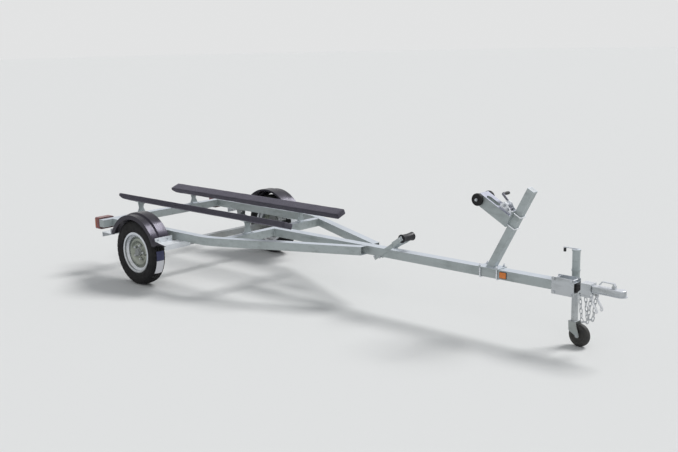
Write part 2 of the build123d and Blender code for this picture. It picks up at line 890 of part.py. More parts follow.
with BuildPart() as keel_roller:
    with BuildSketch(Plane(origin=(keel_x, 0, keel_roller_height), x_dir=(1, 0, 0), z_dir=(0, 0, 1))):
        with BuildLine():
            roller_end = Polyline(
                (keel_shaft_radius + running_gap, keel_roller_length / 2),
                (keel_roller_radius, keel_roller_length / 2),
                (keel_roller_radius, keel_roller_length / 2 - keel_side_gap),
            )
            roller_side = ThreePointArc(
                roller_end @ 1,
                (keel_roller_waist, 0),
                (keel_roller_radius, -keel_roller_length / 2 + keel_side_gap),
            )
            Polyline(
                roller_side @ 1,
                (keel_roller_radius, -keel_roller_length / 2),
                (keel_shaft_radius + running_gap, -keel_roller_length / 2),
                roller_end @ 0,
            )
        make_face()
    revolve(axis=Axis((keel_x, 0, keel_roller_height), (0, 1, 0)))
save(keel_roller, "keel_roller")

# Winch post: a leaning square tube welded to a foot plate on the tongue
lean = radians(post_lean)
post_x = at(post_station)
foot_top = frame_top + foot_plate
post_dir = (sin(lean), 0, cos(lean))
post_back = (-cos(lean), 0, sin(lean))
post_base_run = post_tube
with BuildPart() as winch_post:
    with BuildSketch(
        Plane(
            origin=(post_x - post_base_run * sin(lean), 0, foot_top - post_base_run * cos(lean)),
            x_dir=post_back,
            z_dir=post_dir,
        )
    ):
        Rectangle(post_tube, post_tube)
        Rectangle(post_tube - 2 * post_wall, post_tube - 2 * post_wall, mode=Mode.SUBTRACT)
    extrude(amount=post_length + post_base_run)
    split(bisect_by=Plane.XY.offset(foot_top), keep=Keep.TOP)
    with BuildSketch(Plane.XY.offset(frame_top)):
        with Locations((post_x, 0)):
            Rectangle(foot_length, foot_width)
    extrude(amount=foot_plate)
    u_leg_y = tongue_half + u_bolt_rod / 2 + side_gap
    with BuildSketch(Plane.XY.offset(frame_top)):
        for side in (-1, 1):
            with Locations(
                (post_x + side * (foot_length / 2 - u_bolt_inset), u_leg_y),
                (post_x + side * (foot_length / 2 - u_bolt_inset), -u_leg_y),
            ):
                Circle(u_bolt_rod / 2 + seat_gap)
    extrude(amount=foot_plate, mode=Mode.SUBTRACT)
save(winch_post, "winch_post")

# Bow arm: an inverted channel square to the post, with a slotted top and an end plate
arm_seat = Vector(post_x, 0, foot_top) + Vector(*post_dir) * arm_seat_distance
arm_origin = arm_seat + Vector(*post_back) * (post_tube / 2)
arm_plane = Plane(origin=tuple(arm_origin), x_dir=post_dir, z_dir=post_back)
bow_axis_run = arm_length - bow_shaft_inset
bow_centre = arm_origin + Vector(*post_back) * bow_axis_run
arm_bolt_drop = arm_end_height / 2 - arm_bolt_inset
post_u_y = post_tube / 2 + u_bolt_rod / 2 + side_gap
with BuildPart() as bow_arm:
    with BuildSketch(arm_plane):
        with Locations((arm_plate_rise, 0)):
            Rectangle(arm_end_height, arm_end_width)
            with GridLocations(2 * arm_bolt_drop, 2 * post_u_y, 2, 2):
                Circle(u_bolt_rod / 2 + seat_gap, mode=Mode.SUBTRACT)
    extrude(amount=arm_end_plate)
    with BuildSketch(arm_plane.offset(arm_end_plate)):
        Rectangle(arm_height, arm_width)
        with Locations((-arm_sheet, 0)):
            Rectangle(arm_height, arm_width - 2 * arm_sheet, mode=Mode.SUBTRACT)
    extrude(amount=arm_length - arm_end_plate)
    slot_plane = Plane(
        origin=tuple(arm_origin + Vector(*post_back) * arm_slot_run),
        x_dir=post_back,
        z_dir=post_dir,
    )
    with BuildSketch(slot_plane):
        with Locations((0, arm_slot_shift)):
            SlotOverall(arm_slot_length, arm_slot_width)
    extrude(amount=arm_height, mode=Mode.SUBTRACT)
    with BuildSketch(Plane(origin=(bow_centre.X, 0, bow_centre.Z), x_dir=(1, 0, 0), z_dir=(0, 1, 0))):
        Circle(bow_shaft_radius + seat_gap)
    extrude(amount=arm_width, both=True, mode=Mode.SUBTRACT)
save(bow_arm, "bow_arm")

# U-bolts: two round the tongue that hold the post's foot, two round the post for the bow arm
post_u_front = post_tube + u_bolt_rod / 2 + side_gap
with BuildPart() as post_u_bolts:
    u_bottom = frame_bottom - u_bolt_rod / 2 - side_gap
    for side in (-1, 1):
        u_x = post_x + side * (foot_length / 2 - u_bolt_inset)
        with BuildLine() as u_path:
            Polyline(
                (u_x, -u_leg_y, frame_top + u_bolt_stand),
                (u_x, -u_leg_y, u_bottom),
                (u_x, u_leg_y, u_bottom),
                (u_x, u_leg_y, frame_top + u_bolt_stand),
            )
        with BuildSketch(Plane(origin=u_path.line @ 0, z_dir=u_path.line % 0)):
            RegularPolygon(u_bolt_rod / 2, rod_sides)
        sweep(path=u_path.line, transition=Transition.RIGHT)
    for shift in (arm_plate_rise - arm_bolt_drop, arm_plate_rise + arm_bolt_drop):
        u_origin = arm_origin + Vector(*post_dir) * shift
        front = u_origin - Vector(*post_back) * post_u_front
        rear = u_origin + Vector(*post_back) * (arm_end_plate + u_bolt_rod)
        with BuildLine() as u_path:
            Polyline(
                (rear.X, -post_u_y, rear.Z),
                (front.X, -post_u_y, front.Z),
                (front.X, post_u_y, front.Z),
                (rear.X, post_u_y, rear.Z),
            )
        with BuildSketch(Plane(origin=u_path.line @ 0, z_dir=u_path.line % 0)):
            RegularPolygon(u_bolt_rod / 2, rod_sides)
        sweep(path=u_path.line, transition=Transition.RIGHT)
save(post_u_bolts, "post_u_bolts")

# Bow wheels: two rubber wheels on one bolt, outside the arm's sides
bow_inner_y = arm_width / 2 + bow_side_gap
bow_outer_y = bow_inner_y + bow_wheel_width
with BuildPart() as bow_bolt:
    with BuildSketch(Plane.XZ):
        with Locations((bow_centre.X, bow_centre.Z)):
            Circle(bow_shaft_radius)
    extrude(amount=bow_outer_y + bow_side_gap * 2, both=True)
save(bow_bolt, "bow_bolt")
with BuildPart() as bow_wheels:
    for side in (-1, 1):
        with BuildSketch(Plane.XZ.offset(-side * bow_inner_y)):
            with Locations((bow_centre.X, bow_centre.Z)):
                Circle(bow_wheel_radius)
                Circle(bow_shaft_radius + running_gap, mode=Mode.SUBTRACT)
        extrude(amount=-side * bow_wheel_width)
    chamfer(bow_wheels.edges().filter_by(GeomType.CIRCLE).sort_by(SortBy.RADIUS)[-4:], length=arm_sheet)
save(bow_wheels, "bow_wheels")

# Winch: side plates on the arm, a drum between them and a crank on the left
winch_origin = arm_origin + Vector(*post_back) * winch_offset + Vector(*post_dir) * (arm_height / 2)
gear_radius = drum_flange_radius + drum_flange


def on_winch(y):
    """The winch's side plane moved to a given Y, its X along the arm and its Y up the post."""
    return Plane(origin=(winch_origin.X, y, winch_origin.Z), x_dir=post_back, z_dir=(0, 1, 0))


with BuildPart() as winch_frame:
    with BuildSketch(on_winch(-winch_width / 2)):
        with BuildLine():
            Polyline(
                (0, 0),
                (winch_base_length, 0),
                (winch_base_length, winch_height / 3),
                (drum_run + drum_radius, winch_height),
                (drum_run - drum_radius, winch_height),
                (shaft_run, shaft_rise + winch_height / 3),
                (0, winch_height / 2),
                close=True,
            )
        make_face()
    extrude(amount=winch_width)
    with BuildSketch(on_winch(-winch_width / 2 + winch_sheet)):
        with Locations((winch_base_length / 2, winch_sheet + winch_height)):
            Rectangle(2 * winch_base_length, 2 * winch_height)
    extrude(amount=winch_width - 2 * winch_sheet, mode=Mode.SUBTRACT)
    with BuildSketch(on_winch(-winch_width)):
        for along, up in ((drum_run, drum_rise), (shaft_run, shaft_rise)):
            with Locations((along, up)):
                Circle(winch_shaft_radius + seat_gap)
    extrude(amount=2 * winch_width, mode=Mode.SUBTRACT)
save(winch_frame, "winch_frame")

drum_half = winch_width / 2 - winch_sheet - side_gap
gear_width = drum_flange * 2
drum_steps = (
    # radius, half of the Y width that is solid at that radius, Y of its middle
    (drum_radius, drum_half, 0),
    (drum_flange_radius, drum_flange / 2, -drum_half + drum_flange / 2),
    (drum_flange_radius, drum_flange / 2, drum_half - gear_width - drum_flange / 2),
    (gear_radius, gear_width / 2, drum_half - gear_width / 2),
    (winch_shaft_radius, winch_width / 2 + winch_sheet, 0),
)
with BuildPart() as winch_drum:
    for radius, half, middle in drum_steps:
        with BuildSketch(on_winch(middle - half)):
            with Locations((drum_run, drum_rise)):
                Circle(radius)
        extrude(amount=2 * half)
save(winch_drum, "winch_drum")

crank_angle = radians(crank_lean)
crank_y = winch_width / 2 + winch_sheet + side_gap
crank_end_along = shaft_run + crank_length * cos(crank_angle)
crank_end_up = shaft_rise + crank_length * sin(crank_angle)
with BuildPart() as winch_crank:
    with BuildSketch(on_winch(-winch_width / 2 - winch_sheet)):
        with Locations((shaft_run, shaft_rise)):
            Circle(winch_shaft_radius)
    extrude(amount=winch_width / 2 + winch_sheet + crank_y + crank_sheet * 2)
    with BuildSketch(on_winch(crank_y)):
        with Locations(((shaft_run + crank_end_along) / 2, (shaft_rise + crank_end_up) / 2)):
            SlotCenterToCenter(crank_length, crank_bar, rotation=degrees(crank_angle))
    extrude(amount=crank_sheet)
    with BuildSketch(on_winch(crank_y + crank_sheet)):
        with Locations((crank_end_along, crank_end_up)):
            Circle(crank_grip_radius / 2)
    extrude(amount=crank_grip_length + side_gap)
    with BuildSketch(on_winch(crank_y + crank_sheet + side_gap)):
        with Locations((crank_end_along, crank_end_up)):
            Circle(crank_grip_radius)
    extrude(amount=crank_grip_length)
save(winch_crank, "winch_crank")

# Coupler neck: a narrow tube that sits inside the tongue's open end
neck_rear_x = at(neck_rear_station)
neck_height = tube - 2 * tube_wall
with BuildPart() as coupler_neck:
    with BuildSketch(Plane.YZ.offset(neck_rear_x)):
        with Locations((0, frame_mid)):
            Rectangle(neck_width, neck_height)
            Rectangle(neck_width - 2 * neck_wall, neck_height - 2 * neck_wall, mode=Mode.SUBTRACT)
    extrude(amount=at(neck_front_station) - neck_rear_x)
save(coupler_neck, "coupler_neck")

# Coupler: a pressed channel over the neck, a saddle with chain ears and a domed nose
coupler_rear_x = at(coupler_rear_station)
coupler_tip_x = at(nose_station)
ball_x = coupler_tip_x - coupler_nose_radius - coupler_flange
coupler_top = frame_top + coupler_rise
coupler_bottom = coupler_top - coupler_height
coupler_half = coupler_width / 2
coupler_shoulder_x = at(coupler_shoulder_station)
coupler_roof = frame_top - tube_wall
ball_z = coupler_top - dome_drop
socket_radius = coupler_ball / 2 + side_gap
latch_x = ball_x - coupler_ball / 2 - latch_width
saddle_half = saddle_width / 2
saddle_top = coupler_top + 2 * ear_sheet
ear_bottom = coupler_bottom - ear_below
ear_hole_z = ear_bottom + ear_rim + ear_hole_radius
chain_x = at(chain_station)
chain_step = chain_pitch - 2 * seat_gap
lean_turn = radians(chain_lean)
chain_arc = chain_bend * (pi - 2 * lean_turn)
chain_leg = (chain_links * chain_step - chain_arc) / 2
chain_half = chain_leg * sin(lean_turn) + chain_bend * cos(lean_turn)


def coupler_outline(inset):
    """The coupler's plan, moved inwards by an inset: straight sides and a round nose."""
    half = coupler_half - inset
    nose_half = coupler_nose_radius - inset
    with BuildLine() as outline:
        side_line = Polyline(
            (coupler_rear_x, half),
            (coupler_shoulder_x, half),
            (ball_x, nose_half),
        )
        nose = ThreePointArc(side_line @ 1, (ball_x + nose_half, 0), (ball_x, -nose_half))
        Polyline(
            nose @ 1,
            (coupler_shoulder_x, -half),
            (coupler_rear_x, -half),
            side_line @ 0,
        )
    return outline.line


with BuildPart() as coupler:
    with BuildSketch(Plane.XY.offset(coupler_bottom)):
        with BuildLine():
            add(coupler_outline(0))
        make_face()
    extrude(amount=coupler_height)
    top_edges = coupler.faces().sort_by(Axis.Z)[-1].edges().sort_by(Axis.X)
    fillet(top_edges[1:], radius=coupler_flange)
    with BuildSketch(Plane.XY.offset(coupler_bottom)):
        with BuildLine():
            add(coupler_outline(-coupler_flange))
        make_face()
    extrude(amount=coupler_sheet)
    with Locations((ball_x, 0, ball_z)):
        Sphere(socket_radius + coupler_sheet, arc_size1=0)
    with BuildSketch(Plane.XY.offset(coupler_bottom)):
        with BuildLine():
            add(coupler_outline(coupler_sheet))
        make_face()
        with Locations((coupler_rear_x, 0)):
            Rectangle(2 * coupler_sheet, 2 * (coupler_half - coupler_sheet))
    extrude(amount=coupler_roof - coupler_bottom, mode=Mode.SUBTRACT)
    with Locations((ball_x, 0, ball_z)):
        Sphere(socket_radius, arc_size1=0, mode=Mode.SUBTRACT)
    with BuildSketch(Plane.XY.offset(coupler_bottom)):
        with Locations((latch_x, 0)):
            Circle(latch_bolt_radius + seat_gap)
    extrude(amount=coupler_height, mode=Mode.SUBTRACT)
    with BuildSketch(Plane.XY.offset(coupler_top)):
        with Locations((chain_x, 0)):
            Rectangle(saddle_length, saddle_width)
    extrude(amount=saddle_top - coupler_top)
    for side in (-1, 1):
        with BuildSketch(Plane.XZ.offset(-side * saddle_half)):
            with BuildLine():
                Polyline(
                    (chain_x - ear_length / 2, ear_bottom),
                    (chain_x + ear_length / 2, ear_bottom),
                    (chain_x + ear_length / 2, ear_hole_z + ear_hole_radius),
                    (chain_x + saddle_length / 2, coupler_bottom + coupler_flange),
                    (chain_x + saddle_length / 2, saddle_top),
                    (chain_x - saddle_length / 2, saddle_top),
                    (chain_x - saddle_length / 2, coupler_bottom + coupler_flange),
                    (chain_x - ear_length / 2, ear_hole_z + ear_hole_radius),
                    close=True,
                )
            make_face()
            with Locations((chain_x - chain_half, ear_hole_z), (chain_x + chain_half, ear_hole_z)):
                Circle(ear_hole_radius, mode=Mode.SUBTRACT)
        extrude(amount=side * ear_sheet)
save(coupler, "coupler")

# Latch: a lever over the coupler's top, its bolt and the clamp behind the ball
clamp_z = coupler_bottom + coupler_sheet
lever_points = (
    # X from the bolt, height above the coupler's top, once round the lever
    (latch_width / 2, 0),
    (latch_width / 2, latch_lift / 2),
    (0, latch_lift),
    (latch_width - latch_length, latch_lift + latch_sheet / 2),
    (-latch_length, latch_lift / 3),
    (latch_sheet - latch_length, latch_lift / 4),
    (latch_width - latch_length + latch_sheet / 2, latch_lift - latch_sheet / 2),
    (-latch_sheet / 2, latch_lift - latch_sheet),
    (-latch_width / 2, latch_lift / 3),
    (-latch_width / 2, 0),
)
with BuildPart() as coupler_latch:
    with BuildSketch(Plane.XZ):
        with BuildLine():
            Polyline([(latch_x + ahead, coupler_top + rise) for ahead, rise in lever_points], close=True)
        make_face()
    extrude(amount=latch_width / 2, both=True)
    with BuildSketch(Plane.XY.offset(clamp_z)):
        with Locations((latch_x, 0)):
            Circle(latch_bolt_radius)
    extrude(amount=coupler_top - clamp_z)
    with BuildSketch(Plane.XY.offset(clamp_z)):
        with Locations((latch_x - latch_width / 2, 0)):
            Rectangle(2 * latch_width, latch_width)
    extrude(amount=clamp_thickness)
    with BuildSketch(Plane.XY.offset(clamp_z)):
        with Locations((ball_x, 0)):
            Circle(socket_radius)
    extrude(amount=clamp_thickness, mode=Mode.SUBTRACT)
save(coupler_latch, "coupler_latch")

# Safety chains: interlocked links, each chain hung from both holes of its ear.
# Neighbours turn about the round end of the link that lies in the chain's plane.
chain_y = saddle_half - ear_sheet / 2
chain_top = ear_bottom + ear_rim + seat_gap


def chain_joint(run):
    """X and Z of the point that is a given distance along one chain's hanging loop."""
    if run < chain_leg:
        return chain_x - chain_half + run * sin(lean_turn), chain_top - run * cos(lean_turn)
    if run > chain_leg + chain_arc:
        rest = chain_links * chain_step - run
        return chain_x + chain_half - rest * sin(lean_turn), chain_top - rest * cos(lean_turn)
    turn = lean_turn + (run - chain_leg) / chain_bend
    bend_z = chain_top - chain_leg * cos(lean_turn) + chain_bend * sin(lean_turn)
    return chain_x - chain_bend * cos(turn), bend_z - chain_bend * sin(turn)


link_side = (chain_link_width - chain_wire) / 2
link_end = (chain_pitch + chain_wire) / 2
link_straight = link_end - 3 * link_side / 4
link_shift = chain_step / 2 - link_end + link_side
with BuildPart() as chain_link:
    with BuildLine() as link_path:
        Polyline(
            (0, 0, link_side),
            (link_straight, 0, link_side),
            (link_end, 0, link_side / 2),
            (link_end, 0, -link_side / 2),
            (link_straight, 0, -link_side),
            (-link_straight, 0, -link_side),
            (-link_end, 0, -link_side / 2),
            (-link_end, 0, link_side / 2),
            (-link_straight, 0, link_side),
            close=True,
        )
    with BuildSketch(Plane(origin=(0, 0, link_side), z_dir=(1, 0, 0))):
        RegularPolygon(chain_wire / 2, wire_sides)
    sweep(path=link_path.wire(), transition=Transition.RIGHT)
with BuildPart() as safety_chain_left:
    for number in range(chain_links):
        turn_shift = link_shift * (2 * (number % 2) - 1)
        start_x, start_z = chain_joint(number * chain_step + turn_shift)
        end_x, end_z = chain_joint((number + 1) * chain_step - turn_shift)
        link_x = (start_x + end_x) / 2
        link_z = (start_z + end_z) / 2
        pitch_angle = degrees(atan2(end_z - start_z, end_x - start_x))
        roll = 90 - 90 * (number % 2)
        place = Location((link_x, chain_y, link_z)) * Rotation(0, -pitch_angle, 0) * Rotation(roll, 0, 0)
        add(chain_link.part.moved(place))
save(safety_chain_left, "safety_chain_left")
with BuildPart() as safety_chain_right:
    add(mirror(safety_chain_left.part, about=Plane.XZ))
save(safety_chain_right, "safety_chain_right")

# Jack mount: a plate on each side of the tongue, four bolts and a pivot on the left
jack_x = at(jack_station)
mount_y = tongue_half + jack_pivot_plate
bolt_rise = jack_plate_height / 2 - 2 * jack_plate_bolt_radius
bolt_reach = jack_plate_length / 2 - 3 * jack_plate_bolt_radius
pivot_end_y = mount_y + 2 * swivel_plate + swivel_gap + swivel_plate
with BuildPart() as jack_mount:
    for side in (-1, 1):
        with BuildSketch(Plane.XZ.offset(-side * tongue_half)):
            with Locations((jack_x, frame_mid)):
                RectangleRounded(jack_plate_length, jack_plate_height, jack_plate_bolt_radius)
        extrude(amount=-side * jack_pivot_plate)
    with BuildSketch(Plane.XZ):
        with Locations((jack_x, frame_mid)):
            with GridLocations(2 * bolt_reach, 2 * bolt_rise, 2, 2):
                Circle(jack_plate_bolt_radius)
    extrude(amount=mount_y + jack_plate_bolt_radius, both=True)
    with BuildSketch(Plane.XZ.offset(-mount_y)):
        with Locations((jack_x, frame_mid)):
            Circle(swivel_plate_radius)
    extrude(amount=-swivel_plate)
    with BuildSketch(Plane.XZ.offset(-mount_y)):
        with Locations((jack_x, frame_mid)):
            Circle(pivot_radius)
    extrude(amount=mount_y - pivot_end_y)
save(jack_mount, "jack_mount")

# Jack tube: the swivel plate with its saddle, the outer tube, a ring and the top cap
saddle_y = mount_y + swivel_plate + swivel_gap
jack_outer_radius = jack_outer_diameter / 2
jack_bore_radius = jack_outer_radius - jack_wall
jack_inner_radius = jack_bore_radius - running_gap
with BuildPart() as jack_tube:
    with BuildSketch(Plane.XZ.offset(-saddle_y)):
        with Locations((jack_x, frame_mid)):
            Circle(swivel_plate_radius)
    extrude(amount=-swivel_plate)
    with BuildSketch(Plane.XZ.offset(-saddle_y)):
        with Locations((jack_x, frame_mid)):
            Rectangle(jack_outer_diameter, 2 * jack_outer_radius)
    extrude(amount=saddle_y - jack_side)
    with BuildSketch(Plane.XY.offset(jack_bottom)):
        with Locations((jack_x, jack_side)):
            Circle(jack_outer_radius)
    extrude(amount=jack_top - jack_bottom, mode=Mode.SUBTRACT)
    with BuildSketch(Plane.XZ.offset(-saddle_y)):
        with Locations((jack_x, frame_mid)):
            Circle(pivot_radius + running_gap)
    extrude(amount=saddle_y - pivot_end_y - side_gap, mode=Mode.SUBTRACT)
    with BuildSketch(Plane.XY.offset(jack_bottom)):
        with Locations((jack_x, jack_side)):
            Circle(jack_outer_radius)
            Circle(jack_bore_radius, mode=Mode.SUBTRACT)
    extrude(amount=jack_top - jack_bottom)
    with BuildSketch(Plane.XY.offset(jack_ring_height)):
        with Locations((jack_x, jack_side)):
            Circle(jack_outer_radius + jack_wall)
            Circle(jack_bore_radius, mode=Mode.SUBTRACT)
    extrude(amount=jack_cap_height)
    with BuildSketch(Plane.XY.offset(jack_top)):
        with Locations((jack_x, jack_side)):
            Circle(jack_outer_radius + jack_wall)
    extrude(amount=jack_cap_height)
    fillet(jack_tube.edges().group_by(Axis.Z)[-1], radius=jack_wall)
save(jack_tube, "jack_tube")

# Jack crank: a flat arm on the cap with a turned knob hanging from its end
crank_root_z = jack_top + jack_cap_height
with BuildPart() as jack_crank:
    with BuildSketch(Plane.XY.offset(crank_root_z)):
        with Locations((jack_x - jack_crank_length / 2, jack_side)):
            SlotCenterToCenter(jack_crank_length, crank_bar)
    extrude(amount=crank_sheet)
    with BuildSketch(Plane.XY.offset(crank_root_z - jack_knob_drop)):
        with Locations((jack_x - jack_crank_length, jack_side)):
            Circle(jack_knob_radius)
    extrude(amount=jack_knob_length)
    fillet(jack_crank.edges().group_by(Axis.Z)[0], radius=jack_wall)
save(jack_crank, "jack_crank")

# Jack leg: the inner tube with a plugged foot that holds the caster's kingpin
plug_top = fork_top + kingpin_length + jack_cap_height
with BuildPart() as jack_leg:
    with BuildSketch(Plane.XY.offset(fork_top)):
        with Locations((jack_x, jack_side)):
            Circle(jack_inner_radius)
            Circle(jack_inner_radius - jack_wall, mode=Mode.SUBTRACT)
    extrude(amount=jack_leg_top - fork_top)
    with BuildSketch(Plane.XY.offset(fork_top)):
        with Locations((jack_x, jack_side)):
            Circle(jack_inner_radius - jack_wall)
    extrude(amount=plug_top - fork_top)
    with BuildSketch(Plane.XY.offset(fork_top)):
        with Locations((jack_x, jack_side)):
            Circle(kingpin_radius + running_gap)
    extrude(amount=kingpin_length + side_gap, mode=Mode.SUBTRACT)
save(jack_leg, "jack_leg")

# Caster: a trailing fork with its kingpin and axle, and the wheel, both turned by the yaw
caster_radius = caster_diameter / 2
fork_half = caster_width / 2 + fork_side_gap
fork_plate_top = fork_top - swivel_gap
caster_place = Location((jack_x, jack_side, 0), (0, 0, caster_yaw))
with BuildPart() as fork_upright:
    with BuildSketch(Plane.XZ.offset(fork_half)):
        with BuildLine():
            fork_side = Polyline(
                (caster_trail + fork_tip_radius, caster_radius),
                (jack_inner_radius + fork_plate, fork_plate_top),
                (-jack_inner_radius - fork_plate, fork_plate_top),
                (-jack_inner_radius, fork_plate_top - fork_skirt),
                (caster_trail - fork_tip_radius, caster_radius),
            )
            ThreePointArc(
                fork_side @ 1,
                (caster_trail, caster_radius - fork_tip_radius),
                fork_side @ 0,
            )
        make_face()
    extrude(amount=fork_plate)
    with BuildSketch(Plane.XZ.offset(-fork_half)):
        with BuildLine():
            fork_far_side = Polyline(
                (caster_trail + fork_tip_radius, caster_radius),
                (jack_inner_radius + fork_plate, fork_plate_top),
                (-jack_inner_radius - fork_plate, fork_plate_top),
                (-jack_inner_radius, fork_plate_top - fork_skirt),
                (caster_trail - fork_tip_radius, caster_radius),
            )
            ThreePointArc(
                fork_far_side @ 1,
                (caster_trail, caster_radius - fork_tip_radius),
                fork_far_side @ 0,
            )
        make_face()
    extrude(amount=-fork_plate)
    with BuildSketch(Plane.XY.offset(fork_plate_top - fork_plate)):
        Rectangle(2 * (jack_inner_radius + fork_plate), 2 * fork_half)
    extrude(amount=fork_plate)
    with BuildSketch(Plane.XY.offset(fork_plate_top)):
        Circle(kingpin_radius)
    extrude(amount=kingpin_length)
    with BuildSketch(Plane.XZ):
        with Locations((caster_trail, caster_radius)):
            Circle(caster_axle_radius)
    extrude(amount=fork_half + fork_plate + caster_axle_radius, both=True)
with BuildPart() as jack_fork:
    add(fork_upright.part.moved(caster_place))
save(jack_fork, "jack_fork")

with BuildPart() as wheel_upright:
    with BuildSketch(Plane.XZ):
        with Locations((caster_trail, caster_radius)):
            Circle(caster_radius)
            Circle(caster_axle_radius + running_gap, mode=Mode.SUBTRACT)
    extrude(amount=caster_width / 2, both=True)
    rim_edges = wheel_upright.edges().filter_by(GeomType.CIRCLE).sort_by(SortBy.RADIUS)[-2:]
    fillet(rim_edges, radius=caster_width / 4)
    for side in (-1, 1):
        with BuildSketch(Plane.XZ.offset(-side * caster_width / 2)):
            with Locations((caster_trail, caster_radius)):
                Circle(caster_web_radius)
                Circle(caster_hub_radius, mode=Mode.SUBTRACT)
        extrude(amount=side * caster_web_depth, mode=Mode.SUBTRACT)
with BuildPart() as jack_wheel:
    add(wheel_upright.part.moved(caster_place))
save(jack_wheel, "jack_wheel")
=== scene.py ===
import math
import random

import bmesh
import bpy
from mathutils import Matrix, Vector


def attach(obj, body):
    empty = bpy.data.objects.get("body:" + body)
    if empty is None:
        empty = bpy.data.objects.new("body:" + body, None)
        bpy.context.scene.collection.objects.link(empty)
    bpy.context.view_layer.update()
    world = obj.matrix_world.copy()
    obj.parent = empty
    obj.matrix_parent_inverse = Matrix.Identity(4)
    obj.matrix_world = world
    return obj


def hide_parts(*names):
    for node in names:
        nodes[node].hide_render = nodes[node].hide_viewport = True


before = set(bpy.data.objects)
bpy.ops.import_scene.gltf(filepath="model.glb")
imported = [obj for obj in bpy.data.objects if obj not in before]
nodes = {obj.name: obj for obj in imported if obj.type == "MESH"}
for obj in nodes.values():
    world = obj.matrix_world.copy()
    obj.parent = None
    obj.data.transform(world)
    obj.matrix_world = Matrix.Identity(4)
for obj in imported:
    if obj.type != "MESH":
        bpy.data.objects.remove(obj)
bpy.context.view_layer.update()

# Places, in metres
AXLE_X = -1.535
WHEEL_Y = 0.744
WHEEL_Z = 0.268
FRAME_TOP = 0.455
FRAME_BOTTOM = 0.3915
FRAME_MID = 0.42325
TUBE = 0.0635
TONGUE_HALF = 0.0381
TAIL_X = AXLE_X - 0.622
CROSS_X = AXLE_X + 0.79
SPRING_Y = 0.58825
POST_X = AXLE_X + 2.945
POST_HALF = 0.0254
FOOT_TOP = FRAME_TOP + 0.006
JACK_X = AXLE_X + 3.51
JACK_Y = 0.119
SIDES = (("left", 1), ("right", -1))
BOTH = (-1, 1)

# Camera and lamps
CAMERA_AT = Vector((5.1418, -5.4443, 2.1042))
CAMERA_YAW, CAMERA_PITCH, CAMERA_ROLL = 2.3272, 0.2038, -0.0189
FOCAL_PIXELS, PHOTO_WIDTH, SENSOR_WIDTH = 1000, 678, 36


def polar(radius, angle):
    return radius * math.cos(angle), radius * math.sin(angle)


def new_object(name, data):
    thing = bpy.data.objects.new(name, data)
    bpy.context.scene.collection.objects.link(thing)
    return thing


def make_camera():
    """The photograph's view, from a fit of the camera to the trailer's known lengths."""
    level = math.cos(CAMERA_PITCH)
    forward = Vector((*polar(level, CAMERA_YAW), -math.sin(CAMERA_PITCH)))
    right = forward.cross(Vector((0, 0, 1))).normalized()
    up = right.cross(forward)
    rolled_right = math.cos(CAMERA_ROLL) * right + math.sin(CAMERA_ROLL) * up
    rolled_up = -math.sin(CAMERA_ROLL) * right + math.cos(CAMERA_ROLL) * up
    data = bpy.data.cameras.new("photo_camera")
    data.sensor_width = SENSOR_WIDTH
    data.lens = SENSOR_WIDTH * FOCAL_PIXELS / PHOTO_WIDTH
    data.clip_end = 200
    camera = new_object("photo_camera", data)
    turn = Matrix((rolled_right, rolled_up, -forward)).transposed().to_4x4()
    camera.matrix_world = Matrix.Translation(CAMERA_AT) @ turn
    bpy.context.scene.camera = camera


def make_sun(name, towards, strength, softness):
    """Even studio light from the direction towards, with a soft shadow edge."""
    data = bpy.data.lights.new(name, "SUN")
    data.energy = strength
    data.angle = math.radians(softness)
    light = new_object(name, data)
    light.rotation_euler = Vector(towards).to_track_quat("Z", "Y").to_euler()


make_camera()
bpy.context.scene.view_settings.view_transform = "Standard"


